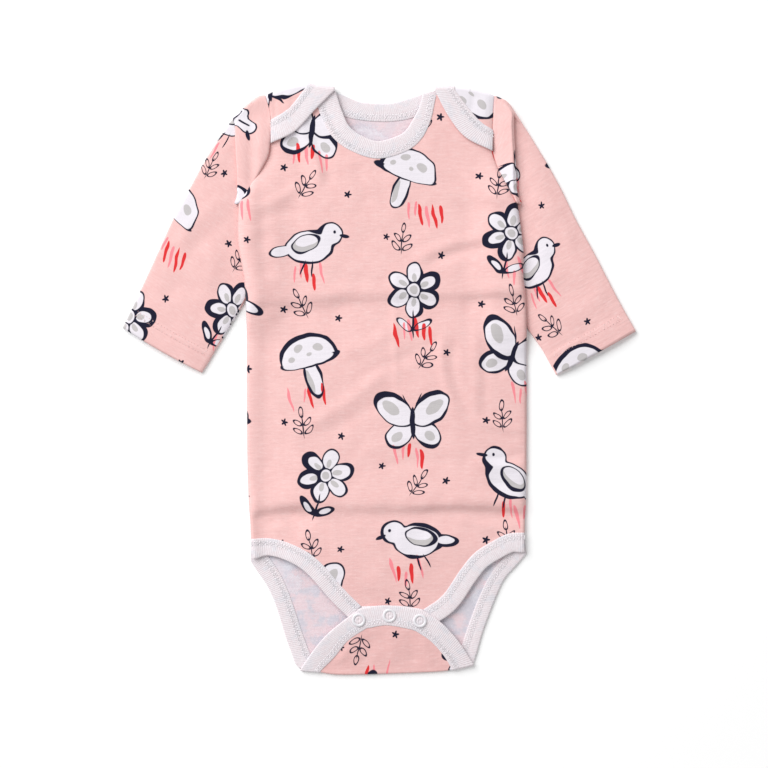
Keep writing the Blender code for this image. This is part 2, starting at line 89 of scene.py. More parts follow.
def splined(points, steps):
    # a smooth curve through the rows, every one kept, with steps between each two
    points = np.asarray(points, float)
    ends = np.concatenate([2 * points[:1] - points[1:2], points, 2 * points[-1:] - points[-2:-1]])
    t = np.linspace(0, 1, steps, endpoint=False).reshape((-1,) + (1,) * (points.ndim - 1))
    made = []
    for a, b, c, d in zip(ends, ends[1:], ends[2:], ends[3:]):
        square = 2 * a - 5 * b + 4 * c - d
        cube = 3 * b - a - 3 * c + d
        made.append(b + 0.5 * ((c - a) * t + square * t**2 + cube * t**3))
    return np.concatenate(made + [points[-1:]])


def smooth(points, count):
    # the same curve cut into count even steps along its first two columns
    dense = splined(points, cloth["curveSteps"])
    steps = np.linalg.norm(np.diff(dense[:, :2], axis=0), axis=1)
    along = np.concatenate([[0], np.cumsum(steps)])
    wanted = np.linspace(0, along[-1], count + 1)
    return np.column_stack([np.interp(wanted, along, column) for column in dense.T])


def chained(*lines):
    # lines that go on from each other, as one
    return np.vstack([lines[0], *(following[1:] for following in lines[1:])])


def patch(top, bottom, left, right):
    # a grid of points that fills the four edges
    v = np.linspace(0, 1, len(left))[:, None, None]
    u = np.linspace(0, 1, len(top))[None, :, None]
    across = (1 - v) * top[None] + v * bottom[None]
    down = (1 - u) * left[:, None] + u * right[:, None]
    topLine = (1 - u) * top[0] + u * top[-1]
    bottomLine = (1 - u) * bottom[0] + u * bottom[-1]
    return across + down - (1 - v) * topLine - v * bottomLine


def ramp(value, low, high):
    t = np.clip((value - low) / (high - low), 0, 1)
    return t * t * (3 - 2 * t)


# steps down the armhole and down the side
edge = {s: chained(smooth(seam[s], 8 * fine), smooth(side[s], 17 * fine)) for s in seam}


def edgeX(s, y):
    return np.interp(y, edge[s][::-1, 1], edge[s][::-1, 0])


# Folds and creases of the front. Columns: x, y of one end, x, y of the other, bow, width, height
frontFolds = (
    (70, 66, 106, 66, 0.6, 4.4, 0.5),
    (84, 51, 106, 50, 0.6, 4.2, 0.4),
    (-60, 62, -24, 63.5, 1.4, 3.6, 0.3),
    (-96, 48, -50, 48.5, 0.6, 4.4, -0.35),
    (44, -84.5, 104, -87, -1.2, 3.6, 0.35),
    (-46, -94, -34, -99, 0.4, 2.6, 0.4),
    (-76, -98, -52, -99, 0.4, 4.4, -0.6),
    (-92, 106, -82, 74, 2.0, 7.5, -0.8),
    (-80, 124, -78, 70, 1.5, 5, 0.3),
    (6, 84, 7, -14, 0.8, 3.0, 0.36),
    (69, 52, 70, -24, -1, 3.6, -0.4),
    (62, 46, 63, -30, -1, 3.6, 0.36),
    (-60, -34, 0, 8, 3, 4.8, 0.7),
    (-46, -38, 8, -6, 2, 5, -0.6),
    (-32, 20, 2, 34, 2, 5, 0.5),
    (-22, 2, 42, 32, 2, 4.6, -0.55),
    (40, 34, 50, -20, 5, 3.8, 0.85),
    (49, 32, 58, -22, 5, 4.0, -0.55),
    (28, 82, 74, 95, -3, 4.4, -0.95),
    (20, 86, 72, 102, -3, 4.6, 0.75),
    (-40, 76, 2, 70, 2, 4.5, -0.36),
    (-66, 187, -48, 142, -3, 4.0, 1.2),
    (-74, 176, -58, 138, -2, 4.4, -0.85),
    (-54, 176, -40, 140, -2, 4.8, -0.65),
    (-98, 124, -62, 142, 4, 4.4, 0.8),
    (-96, 112, -60, 122, -2, 4.8, -0.6),
    (86, 128, 54, 150, -4, 4.4, 0.8),
    (88, 114, 58, 126, 2, 4.8, -0.6),
    (28, 160, 50, 128, 3, 5, 0.5),
    (-22, 154, -12, 124, 1, 5, -0.36),
    (2, 150, 6, 118, -1, 5, 0.36),
    (100, -36, 62, -28, -2, 3.2, 0.6),
    (100, -52, 70, -56, -2, 3.4, -0.6),
    (100, -62, 60, -58, -2, 3.4, 0.6),
    (100, -76, 72, -72, -1, 3.2, -0.6),
    (98, 24, 72, 12, 2, 3.6, 0.5),
    (98, 12, 78, 2, 2, 3.4, -0.4),
    (-74, -98, -62, -112, 1, 3.2, -0.8),
    (-66, -96, -52, -114, 1, 3.6, 0.65),
    (-40, -112, -14, -150, 3, 4.4, 0.55),
    (32, -108, 16, -150, -3, 4.4, 0.5),
    (4, -98, 6, -150, 2, 5, -0.36),
    (80, -106, 50, -98, -2, 3.6, 0.55),
    (-84, -106, -66, -100, 2, 3.4, 0.45),
    (-82, -18, -58, -72, -4, 5, 0.42),
    (-72, 30, -66, -16, 2, 5, 0.3),
    (-20, -54, 30, -42, -3, 4.6, 0.5),
    (-16, -66, 44, -58, -3, 5, -0.45),
    (-62, -60, -20, -76, 3, 4.6, -0.35),
)
# Banks of the front, where the cloth left of the way from one end to the other lies higher.
# Columns: x, y of one end, x, y of the other, bow, width, half height, reach
frontBanks = (
    (-101, 52.6, -26, 57.4, 0.8, 4.2, 1.15, 26),
    (-42, 57.2, 66, 59.6, -0.6, 3.0, 0.95, 24),
    (56, 59.8, 104, 59.4, -0.4, 2.6, 1.0, 22),
    (-103, -98.5, -58, -91.4, -1.2, 2.5, 1.5, 20),
    (-74, -91.8, 24, -92.2, 1.0, 3.2, 1.1, 22),
    (14, -93.6, 104, -95.6, -3.0, 2.3, 1.7, 22),
    (-88.6, 46, -93.6, 148, -0.6, 4.6, 1.1, 20),
    (-90.6, -146, -89.6, 62, -0.8, 3.4, 0.6, 14),
)
# The same as the folds for the back, which can only rise from the surface it lies on
backFolds = (
    (-96, 58, 96, 61, 2, 5, 0.35),
    (-96, -88, 96, -91, -2, 5, 0.35),
    (-60, 150, -30, 120, 3, 6, 0.4),
    (58, 146, 30, 118, -3, 6, 0.35),
    (-20, 20, 24, -6, 4, 7, 0.3),
    (-50, -40, -10, -62, 3, 7, 0.3),
    (40, -20, 46, -70, 3, 6, 0.3),
    (-24, 176, 12, 168, -2, 5, 0.5),
    (-70, -128, -52, -168, 2, 5, 0.45),
    (84, -122, 60, -160, -2, 5, 0.45),
    (-52, -150, -34, -178, 1, 4, 0.35),
    (50, -150, 36, -176, -1, 4, 0.35),
)
flapFolds = (
    (-36, -204, -24, -186, 1, 3.2, 0.5),
    (-18, -206, -10, -184, 1, 3.6, -0.4),
    (4, -206, 2, -180, 1, 4, 0.4),
    (20, -205, 17, -182, -1, 3.6, -0.35),
    (34, -203, 25, -188, -1, 3.2, 0.45),
)
lapFolds = (
    (-80.4, 202, -79.6, 186, 0.4, 1.3, -0.55),
    (-72, 206, -70, 192, 0.4, 3, 0.4),
    (70, 204, 69, 184, -0.4, 3, 0.4),
    (62, 205, 60, 192, -0.4, 2.6, -0.35),
)


def lineOff(x, y, ax, ay, bx, by, bow):
    # how far a point is off the bowed line, and a share that fades out past the line's ends
    length = math.hypot(bx - ax, by - ay)
    dx, dy = (bx - ax) / length, (by - ay) / length
    t = ((x - ax) * dx + (y - ay) * dy) / length
    off = (x - ax) * dy - (y - ay) * dx - bow * 4 * t * (1 - t)
    low, high = form["foldEnds"]
    return off, ramp(t, *low) * ramp(t, *high)


def folded(folds, x, y):
    height = np.zeros(np.shape(x))
    for *ends, width, rise in folds:
        off, fade = lineOff(x, y, *ends)
        height = height + rise * fade * np.exp(-((off / width) ** 2))
    return height


def banked(banks, x, y):
    height = np.zeros(np.shape(x))
    for *ends, width, rise, reach in banks:
        off, fade = lineOff(x, y, *ends)
        height = height - rise * fade * np.tanh(off / width) * np.exp(-((off / reach) ** 2))
    return height


def rippled(x, y, size):
    # short uneven ripples that cross each other
    draw = np.random.default_rng(form["rippleSeed"])
    height = np.zeros(np.shape(x))
    short, long = form["rippleLengths"]
    for count in range(form["ripples"]):
        aim, shift = draw.uniform(0, 2 * math.pi), draw.uniform(0, 2 * math.pi)
        length = draw.uniform(short, long)
        way = x * math.cos(aim) + y * math.sin(aim)
        height = height + 2 * length / (short + long) * np.sin(way * 2 * math.pi / length + shift)
    return size * height / math.sqrt(form["ripples"])


def swell(x, y, size):
    # slow, uneven waves of cloth that isn't quite flat
    one = np.sin(x / 23 + 1.3 * np.sin(y / 41)) * np.sin(y / 31 + 0.7)
    two = np.sin((x + 0.6 * y) / 37 + 2.1) * np.sin((y - 0.4 * x) / 19 + 0.4)
    return size * (0.6 * one + 0.4 * two)


form = {
    "crown": ((-165, 1.0), (-130, 1.7), (-90, 3.2), (40, 2.8), (150, 2.2), (205, 1.3)),  # y, height
    "crownShare": 0.7, "sideRound": 55.0,
    # how far the front stands off the back, reached this far in, left and right
    "air": 1.1, "airEdge": (12.0, 5.0),
    # y where it is gone and where it is whole, each left and right, and where x changes from left to right
    "airEnds": ((-166, -152), (-140, -104)), "airTurn": (-20, 60),
    # how the left side seam stands up: height, width, y where it begins and ends, share it gains at the hip
    "seamCurl": 1.1, "seamCurlWidth": 5.0, "curlEnds": ((-130, -114), (44, 8)), "curlGain": (0.3, -50, -90),
    # where the sides roll over a sleeve: how far down, and how far in at the hips and at the armholes
    "edgeDrop": 0.9, "edgeRoll": (2.4, 4.8), "armholeFrom": (100, 120),
    "foldEnds": ((-0.12, 0.2), (1.12, 0.8)),  # share of a fold's length where it begins and is whole
    "swell": 0.5, "lightSwell": 0.3,  # of the front, and of the flap and the sleeves
    # how far in from the left and from the right side the front's folds begin, and the back's from both
    "reliefFade": (4.4, 2.2), "backReliefFade": 8,
    "seamDip": 0.10, "seamWidth": 1.7,
    "ripples": 11, "rippleSeed": 5, "ripple": 0.11, "rippleLengths": (14, 34),  # count, seed, height, mm
    "sleeveUnder": ((-62, -88, 165, 130, 24, 52), (54, 80, 165, 130, 12, 40)),
    "underFlattens": (0.7, 40),  # how much of the crown is lost over a sleeve, and how far in
    # y where the folds begin and where they are whole, on the front and at both ends of the flap
    "reliefEnd": (-163, -150), "flapRelief": ((-208, -200), (-172, -182)),
    "least": 0.15,  # least gap between the panels where a crease presses the front down, mm
    "flapDrop": 3.2, "flapTop": -176.0, "flapLength": 32.0,
    "legRibUnder": (-95, -110),
}


def edgeFade(x, y, width):
    # 0 at the body's side edges, 1 at width from them
    return np.clip(np.minimum(x - edgeX("left", y), edgeX("right", y) - x) / width, 0, 1)


def lift(x, y):
    shares = [ramp(x, a, b) * ramp(y, c, d) * ramp(y, e, f) for a, b, c, d, e, f in form["sleeveUnder"]]
    narrow, wide = form["edgeRoll"]
    roll = narrow + (wide - narrow) * ramp(y, *form["armholeFrom"])
    drop = form["edgeDrop"] * (1 - edgeFade(x, y, roll)) ** 2
    curl = form["seamCurl"] * np.exp(-(((x - edgeX("left", y)) / form["seamCurlWidth"]) ** 2))
    low, high = form["curlEnds"]
    gain, *hip = form["curlGain"]
    curl = curl * ramp(y, *low) * ramp(y, *high) * (1 + gain * ramp(y, *hip))
    return (cloth["sleeveLift"] - drop) * np.maximum(*shares) + curl


def crown(x, y):
    full = np.interp(y, *zip(*form["crown"]))
    inFrom = edgeFade(x, y, np.where(x < 0, *form["airEdge"]))
    # the air runs out towards the tab, and sooner at the right leg
    rightShare = ramp(x, *form["airTurn"])
    low, high = [a * (1 - rightShare) + b * rightShare for a, b in form["airEnds"]]
    air = form["air"] * (1 - (1 - inFrom) ** 2) * ramp(y - low, 0, high - low)
    return air + full * form["crownShare"] * ramp(edgeFade(x, y, form["sideRound"]), 0, 1)


def backPlain(x, y):
    return cloth["wall"] / 2 + lift(x, y)


def backHeight(x, y):
    own = np.clip(folded(backFolds, x, y), 0, None)
    return backPlain(x, y) + own * edgeFade(x, y, form["backReliefFade"])


def frontPlain(x, y):
    raisedShare = lift(x, y) / cloth["sleeveLift"]
    overLegRib = (cloth["rib"] - cloth["wall"]) * ramp(y, *form["legRibUnder"])
    flattens, reach = form["underFlattens"]
    ownCrown = crown(x, y) * (1 - flattens * raisedShare * edgeFade(x, y, reach))
    return backPlain(x, y) + cloth["wall"] + cloth["gap"] + overLegRib + ownCrown


def frontHeight(x, y):
    relief = folded(frontFolds, x, y) + banked(frontBanks, x, y) + swell(x, y, form["swell"])
    begins = edgeFade(x, y, np.where(x < 0, *form["reliefFade"]))
    relief = (relief + rippled(x, y, form["ripple"])) * begins
    seamDip = form["seamDip"] * (1 - edgeFade(x, y, form["seamWidth"])) ** 2
    height = frontPlain(x, y) + relief * ramp(y, *form["reliefEnd"])
    return np.maximum(height, backHeight(x, y) + cloth["wall"] + form["least"]) - seamDip


def overPlain(x, y):
    return frontPlain(x, y) + cloth["rib"] + cloth["gap"]


def lapHeight(x, y):
    return overPlain(x, y) + folded(lapFolds, x, y)


def flapPlain(x, y):
    # the flap leans down from the tab under it to its fold
    return overPlain(x, y) - form["flapDrop"] * np.clip((form["flapTop"] - y) / form["flapLength"], 0, 1)


def flapHeight(x, y):
    low, high = form["flapRelief"]
    relief = folded(flapFolds, x, y) + swell(x, y, form["lightSwell"]) + rippled(x, y, form["ripple"])
    return flapPlain(x, y) + relief * ramp(y, *low) * ramp(y, *high)


def raised(points, height):
    return np.concatenate([points, height(points[..., 0], points[..., 1])[..., None]], axis=-1)


def bend(low, high, outwards, steps):
    # points round a fold from the lower layer to the upper, with both ends
    radius = (high[2] - low[2]) / 2
    turned = []
    for step in range(steps + 1):
        angle = math.pi * step / steps
        point = low + (high - low) * (1 - math.cos(angle)) / 2
        point[:2] += outwards * radius * math.sin(angle)
        turned.append(point)
    return turned


# Shader maths


def maths(operation, swapped=False):
    # a method that adds one Math node for a wire and the values beside it
    def method(self, *others):
        values = (*others, self) if swapped else (self, *others)
        return nodeOn(self.tree, "ShaderNodeMath", {"operation": operation}, dict(enumerate(values)))

    return method


class Wire:
    # one socket, so that its maths is written as plain expressions
    __add__, __radd__ = maths("ADD"), maths("ADD", True)
    __sub__, __rsub__ = maths("SUBTRACT"), maths("SUBTRACT", True)
    __mul__, __rmul__ = maths("MULTIPLY"), maths("MULTIPLY", True)
    __truediv__, __mod__, __abs__ = maths("DIVIDE"), maths("FLOORED_MODULO"), maths("ABSOLUTE")
    least, most, over, floor = maths("MINIMUM"), maths("MAXIMUM"), maths("GREATER_THAN"), maths("FLOOR")
    sine, cosine, angleFrom = maths("SINE"), maths("COSINE"), maths("ARCTAN2")
    meltedLeast = maths("SMOOTH_MIN")

    def __init__(self, socket):
        self.socket, self.tree = socket, socket.id_data

    def __neg__(self):
        return self * -1.0

    def eased(self, low, high):
        # 0 at low, 1 at high; low may be above high
        settings = {"interpolation_type": "SMOOTHSTEP", "clamp": True}
        ends = (0.0, 1.0) if low < high else (1.0, 0.0)
        values = {0: self, 1: min(low, high), 2: max(low, high), 3: ends[0], 4: ends[1]}
        return nodeOn(self.tree, "ShaderNodeMapRange", settings, values)


def feed(node, values):
    # values or wires for a node's sockets, by name or number
    for key, value in values.items():
        if isinstance(value, Wire):
            node.id_data.links.new(value.socket, node.inputs[key])
        else:
            node.inputs[key].default_value = value


def nodeOn(tree, kind, settings, values, out=0):
    # any node: its settings first, then its sockets
    node = tree.nodes.new(kind)
    for name, setting in settings.items():
        setattr(node, name, setting)
    feed(node, values)
    return Wire(node.outputs[out])


def colourMix(factor, *colours):
    values = {0: factor}
    for socket, colour in zip((6, 7), colours):
        values[socket] = colour if isinstance(colour, Wire) else (*colour, 1)
    return nodeOn(factor.tree, "ShaderNodeMix", {"data_type": "RGBA"}, values, 2)


def vectorMaths(operation, *values, out=0):
    values = dict(enumerate(values))
    return nodeOn(values[0].tree, "ShaderNodeVectorMath", {"operation": operation}, values, out)


def scaled(vector, *by):
    return vectorMaths("MULTIPLY", vector, by)


def lengthOf(vector):
    return vectorMaths("LENGTH", vector, out=1)


def joined(x, y, z=0.0):
    return nodeOn(x.tree, "ShaderNodeCombineXYZ", {}, {0: x, 1: y, 2: z})


def parted(vector, count=2):
    split = nodeOn(vector.tree, "ShaderNodeSeparateXYZ", {}, {0: vector}).socket.node
    return [Wire(split.outputs[axis]) for axis in range(count)]


def noise(vector, scale, detail=2.0, roughness=0.5, out=0):
    values = {"Vector": vector, "Scale": scale, "Detail": detail, "Roughness": roughness}
    return nodeOn(vector.tree, "ShaderNodeTexNoise", {}, values, out)


def patches(place, across, along, detail, roughness, low, high):
    # uneven patches, 0 up to low and 1 from high
    return noise(scaled(place, across, along, 0), 1.0, detail, roughness).eased(low, high)


def strayed(place, scale, detail, reach):
    # the place moved about at random, by up to half of reach each way
    way = vectorMaths("SUBTRACT", noise(place, scale, detail, out=1), (0.5, 0.5, 0.5))
    return vectorMaths("ADD", place, scaled(way, reach, reach, 0))


def clothPlace(tree):
    # where on the cut cloth the surface is, in mm
    return scaled(nodeOn(tree, "ShaderNodeUVMap", {"uv_map": "cloth"}, {}), 1 / mm, 1 / mm, 0)


def solidPlace(tree):
    # where in the object the surface is, in mm
    return scaled(nodeOn(tree, "ShaderNodeTexCoord", {}, {}, 3), 1 / mm, 1 / mm, 1 / mm)


def mirrored(place):
    x, y = parted(place)
    return joined(abs(x), y)


def ellipse(place, x, y, rx, ry, turn=0.0):
    # below 0 inside; the line drawn on 0 swells a little at the narrow ends, as a brush's does
    turn = (0, 0, math.radians(turn))
    values = {"Vector": place, "Location": (x, y, 0), "Rotation": turn, "Scale": (rx, ry, 1)}
    local = nodeOn(place.tree, "ShaderNodeMapping", {"vector_type": "TEXTURE"}, values)
    return (lengthOf(local) - 1.0) * (rx * ry) ** 0.5


def ellipses(place, *rows):
    # all of them as one shape
    return functools.reduce(Wire.least, [ellipse(place, *row) for row in rows])


def inside(shape, soft=0.22):
    return shape.eased(soft, -soft)


def line(shape, width, soft=0.2):
    return (width / 2 - abs(shape)).eased(-soft, soft)


ink = {
    "pink": (0.885, 0.560, 0.540), "heather": (0.800, 0.455, 0.440), "pale": (0.915, 0.640, 0.625),
    "white": (0.830, 0.785, 0.840), "navy": (0.010, 0.010, 0.030), "grey": (0.50, 0.475, 0.47),
    "red": (0.74, 0.018, 0.022), "rose": (0.93, 0.27, 0.31),
}
# the same print as it shows on the inside
ghostInk = {
    "white": (0.735, 0.735, 0.800), "navy": (0.520, 0.520, 0.605), "grey": (0.560, 0.570, 0.650),
    "red": (0.80, 0.600, 0.650), "rose": (0.82, 0.660, 0.700),
}

pattern = {
    "column": 70.0,  # mm between columns, every second one half a step down
    "row": 86.0,
    "offset": (-19.0, 30.0),
    "stray": (11.0, 12.0),  # how far a main motif strays from its place
    "size": 1.24,  # of the main motifs
    "tilt": 0.9,  # range of the main motifs' slants, radians
    "hand": (0.085, 1.0, 3.0),  # how unsteady the hand is: how often, detail, mm
    "pen": (0.95, 2.4),  # width of the outline where it is thin, and what it gains where it is thick, mm
    "press": (0.045, 0.42, 0.72),  # how often the pen is pressed, and from where to where it thickens
    "twigStray": (24.0, 9.0), "twigTilt": 1.3, "twigPen": 0.95,
    "dashPitch": 4.9, "dashRow": 14.6,  # mm from one dash to the next, and half the length of a row of them
    "greyness": 0.85, "dashes": 0.97,  # how strongly they cover the cloth
}


# Each motif gives its masks of white, grey and navy


def butterfly(p, pen):
    half = mirrored(p)
    upper = ellipse(half, 10.5, 6.5, 12.5, 7.6, 38)
    lower = ellipse(half, 8.0, -7.5, 8.6, 6.2, -36).most(-upper)
    body, feelers = ellipse(p, 0, -1, 1.5, 9.5), ellipse(half, 3.4, 11.5, 4.6, 0.45, 62)
    spots = ellipses(half, (12.8, 8.2, 6.0, 3.0, 40), (9.4, -8.8, 3.4, 2.4, -36))
    navy = line(upper, pen).most(line(lower, pen)).most(inside(body.least(feelers)))
    return inside(upper.least(lower)), inside(spots), navy


def bird(p, pen):
    body, head = ellipse(p, 0, 0, 13.5, 9.2, 14), ellipse(p, 11.5, 9.5, 6.6, 6.2)
    whole = body.meltedLeast(head, 3.0).least(ellipse(p, -15.0, -5.0, 7.0, 2.9, 22))
    wing = ellipse(p, -2.2, 1.6, 8.6, 4.8, 28)
    beak, eye = (19.4, 9.2, 3.1, 1.15, -6), (13.2, 10.9, 0.85, 0.95)
    legs = (-1.5, -12.6, 0.55, 4.4, -8), (3.6, -12.2, 0.55, 4.6, 6)
    grey = inside(wing) * (1 - inside(ellipse(p, -1.0, 4.2, 8.4, 3.6, 28)))
    navy = line(whole, pen).most(line(wing, pen * 0.75)).most(inside(ellipses(p, beak, eye, *legs)))
    return inside(whole), grey, navy


def toadstool(p, pen):
    y = parted(p)[1]
    cap = ellipse(p, 0, 1.5, 16.5, 14.0).most(1.0 - y).least(ellipse(p, 0, 1.0, 16.8, 3.6))
    stalk = ellipse(p, 0.5, -9.5, 4.6, 11.0).most(y - 0.5)
    spots = ellipses(
        p, (-6.5, 7.0, 3.0, 2.4, 20), (4.5, 9.5, 2.8, 2.1, -20), (10.2, 4.2, 1.9, 1.5, -30),
        (-0.8, 4.4, 1.5, 1.1), (2.8, -11.0, 1.6, 7.0, -4),
    )
    navy = line(cap, pen).most(line(stalk.most(-cap), pen * 0.8))
    return inside(cap.least(stalk)), inside(spots), navy


def blossom(p, pen):
    x, y = parted(p)
    y = y - 5.0
    reach = lengthOf(joined(x, y))
    step = math.pi / 3
    angle = y.angleFrom(x) % step - step / 2
    petalPlace = joined(reach * angle.cosine(), reach * angle.sine())
    petal, heart = ellipse(petalPlace, 9.6, 0, 6.2, 4.5), reach - 4.0
    stem, leaf = ellipse(p, 0, -14.5, 0.6, 8.0), ellipse(joined(abs(x), y), 5.2, -20.0, 5.4, 2.1, 34)
    grey = inside(ellipse(petalPlace, 7.2, 0, 2.6, 1.5).least(heart + 1.6))
    navy = (line(petal, pen) * (1 - inside(heart))).most(line(heart, pen * 0.8))
    navy = navy.most(inside(stem)).most(line(leaf, pen * 0.8))
    return inside(petal.least(heart).least(leaf)), grey, navy


def twig(p):
    half = mirrored(p)
    low, mid = ellipse(half, 4.0, -4.6, 3.7, 1.5, 40), ellipse(half, 3.4, 1.4, 3.4, 1.4, 44)
    navy = inside(ellipse(p, 0, -1.5, 0.42, 9.0))
    for leaf in (low, mid, ellipse(p, 0, 8.6, 1.5, 3.4)):
        navy = navy.most(line(leaf, pattern["twigPen"]))
    return navy


def star(p):
    x, y = parted(p)
    return inside(lengthOf(p) - 2.1 - 0.75 * (y.angleFrom(x) * 5).cosine(), 0.3)


def randoms(x, y, seed):
    # three random numbers for each cell
    values = {"Vector": joined(x, y, seed)}
    return parted(nodeOn(x.tree, "ShaderNodeTexWhiteNoise", {"noise_dimensions": "3D"}, values, 1), 3)


def strokes(p, seed):
    # brushed dashes side by side, each of its own height, width, slant and colour
    x, y = parted(p)
    which = (x / pattern["dashPitch"]).floor()
    local = x - (which + 0.5) * pattern["dashPitch"]
    one, two, three = randoms(which, seed, 0.0)
    raisedBy = y + (three - 0.5) * 9.0
    slanted = local + (two - 0.5) * 1.8 + ((one - 0.5) * 0.55 + 0.05) * raisedBy
    wide = slanted / (0.75 + 0.65 * two + raisedBy * 0.05)
    tall = raisedBy / (3.4 + 6.0 * one)
    shape = wide * wide + tall * tall * tall * tall
    mask = shape.eased(1.25, 0.8) * (pattern["dashRow"] - abs(x)).over(0.0) * one.over(0.2)
    return mask, two.over(0.6)


def turnedBy(x, y, angle):
    values = {"Vector": joined(x, y), "Angle": angle}
    return nodeOn(x.tree, "ShaderNodeVectorRotate", {"rotation_type": "Z_AXIS"}, values)


def printColour(place, ground, inks):
    # the whole repeat: one main motif to a cell, a small one between each two, dashes and stars
    often, detail, wobble = pattern["hand"]
    u, v = parted(vectorMaths("ADD", strayed(place, often, detail, wobble), (*pattern["offset"], 0)))
    wide, tall = pattern["column"], pattern["row"]
    column = (u / wide + 0.5).floor()
    localU = u - column * wide
    dropped = v + (column % 2.0) * (tall / 2)
    row = (dropped / tall + 0.5).floor()
    localV = dropped - row * tall
    halfRow = (dropped / tall).floor()
    betweenV = dropped - (halfRow + 0.5) * tall

    one, two, three = randoms(column, row, 3.0)
    flip = two.over(0.5) * 2.0 - 1.0
    strayU, strayV = pattern["stray"]
    mainU = (localU + (three - 0.5) * strayU) * flip / pattern["size"]
    mainV = (localV + (two - 0.5) * strayV) / pattern["size"]
    p = turnedBy(mainU, mainV, (one - 0.5) * pattern["tilt"])
    thin, gain = pattern["pen"]
    often, low, high = pattern["press"]
    pen = thin + gain * noise(place, often, 0.0).eased(low, high)
    kind = (column + row * 3.0) % 4.0
    drawn = [
        [mask * abs(kind - number).eased(0.5, 0.4) for mask in motif(p, pen)]
        for number, motif in enumerate((butterfly, bird, toadstool, blossom))
    ]
    white, grey, navy = (functools.reduce(Wire.most, masks) for masks in zip(*drawn))

    first, second, third = randoms(column, halfRow, 7.0)
    strayU, strayV = pattern["twigStray"]
    twigU, twigV = localU + (first - 0.5) * strayU, betweenV + (second - 0.5) * strayV
    small = turnedBy(twigU, twigV, (third - 0.5) * pattern["twigTilt"])
    near = star(joined(localU - 15.0 - 9.0 * third, betweenV - 9.0 + 22.0 * first))
    far = star(joined(localU + 17.0 + 8.0 * second, betweenV + 8.0 - 20.0 * third)) * first.over(0.35)
    navy = navy.most(twig(small)).most(near).most(far)
    dashPlace = joined(localU + (one - 0.5) * 20.0, localV + 20.0 + 6.0 * two)
    dash, isRed = strokes(dashPlace, row * 5.0 + column)
    dash = dash * three.over(0.2)

    colour = colourMix(white, ground, inks["white"])
    colour = colourMix(grey * pattern["greyness"], colour, inks["grey"])
    colour = colourMix(dash * pattern["dashes"], colour, colourMix(isRed, inks["rose"], inks["red"]))
    return colourMix(navy, colour, inks["navy"])


knit = {
    "wale": 0.95,  # width of one column of loops, mm
    "course": 0.7,  # height of one row of loops, mm
    "loops": 0.45, "fibres": 0.8, "slubs": 2.2,  # how much each shows in the bump
    "bump": (0.5, 0.0002),  # strength, m
    "streak": 0.40,  # how strongly the mottled yarn shows
    # patches. Columns: how often across, how often along, detail, roughness, low, high
    "flecks": (0.26, 1.0, 3.0, 0.7, 0.42, 0.72),
    "paleFlecks": (0.17, 0.62, 3.0, 0.65, 0.48, 0.74),
    "clouds": (0.10, 0.10, 3.0, 0.6, 0.34, 0.70),
    "paintedShade": (-90, -250),  # painted shade: y on the cut cloth from where to where it dims a little, towards the lower body and the flap
}
knitBack = {
    "ground": (0.815, 0.665, 0.705), "rosy": (0.77, 0.575, 0.615), "blue": (0.615, 0.605, 0.680),
    "bright": (0.86, 0.79, 0.82),
    "mottles": (0.3, 0.9, 3.0, 0.65, 0.3, 0.7),
    "specks": (0.5, 0.5, 3.0, 0.7, 0.42, 0.7),
    "clouds": (0.07, 0.07, 3.0, 0.6, 0.43, 0.59),
    "clear": (20, 130),  # y on the cut cloth from where to where the bluish patches fade
    "spread": (1.1, 3.0, 13.0),  # how the print's edges are broken up: how often, detail, mm
}


def newMaterial(name):
    made = bpy.data.materials.new(name)
    made.use_nodes = True
    tree = made.node_tree
    return made, tree, tree.nodes["Principled BSDF"]


def fabric(roughness, sheen):
    soft = {"Specular IOR Level": 0.18, "Sheen Roughness": 0.45}
    return {"Roughness": roughness, "Sheen Weight": sheen, **soft}


def bumped(height, strength, distance):
    values = {"Strength": strength, "Distance": distance, "Height": height}
    return {"Normal": nodeOn(height.tree, "ShaderNodeBump", {}, values)}


def knitHeight(place):
    # V shaped loops in columns, with loose fibres and slubs over them
    x, y = parted(place)
    wale = abs((x / knit["wale"]) % 1.0 - 0.5) * 2.0
    course = (y / knit["course"] + wale * 0.55) % 1.0
    loop = (1 - wale * wale) * 0.6 + (course * (1 - course) * 4.0) * 0.4
    slubs = noise(scaled(place, 0.09, 0.42, 0), 1.0)
    return loop * knit["loops"] + noise(place, 1.1, 3.0, 0.7) * knit["fibres"] + slubs * knit["slubs"]


def knitGround(place):
    # mottled yarn: short pale and dark flecks along the courses, over slower clouds
    ground = colourMix(patches(place, *knit["flecks"]) * knit["streak"], ink["pink"], ink["heather"])
    ground = colourMix(patches(place, *knit["clouds"]) * 0.30, ground, ink["heather"])
    # painted shade: the cloth dims towards the lower body and the crotch flap
    ground = colourMix(parted(place)[1].eased(*knit["paintedShade"]) * 0.36, ground, ink["heather"])
    return colourMix(patches(place, *knit["paleFlecks"]) * knit["streak"] * 1.3, ground, ink["pale"])


def knitRight():
    made, tree, shader = newMaterial("pinkPrintedKnit")
    place = clothPlace(tree)
    colour = printColour(place, knitGround(place), ink)
    feed(shader, {"Base Color": colour, **fabric(0.88, 0.12), **bumped(knitHeight(place), *knit["bump"])})
    return made


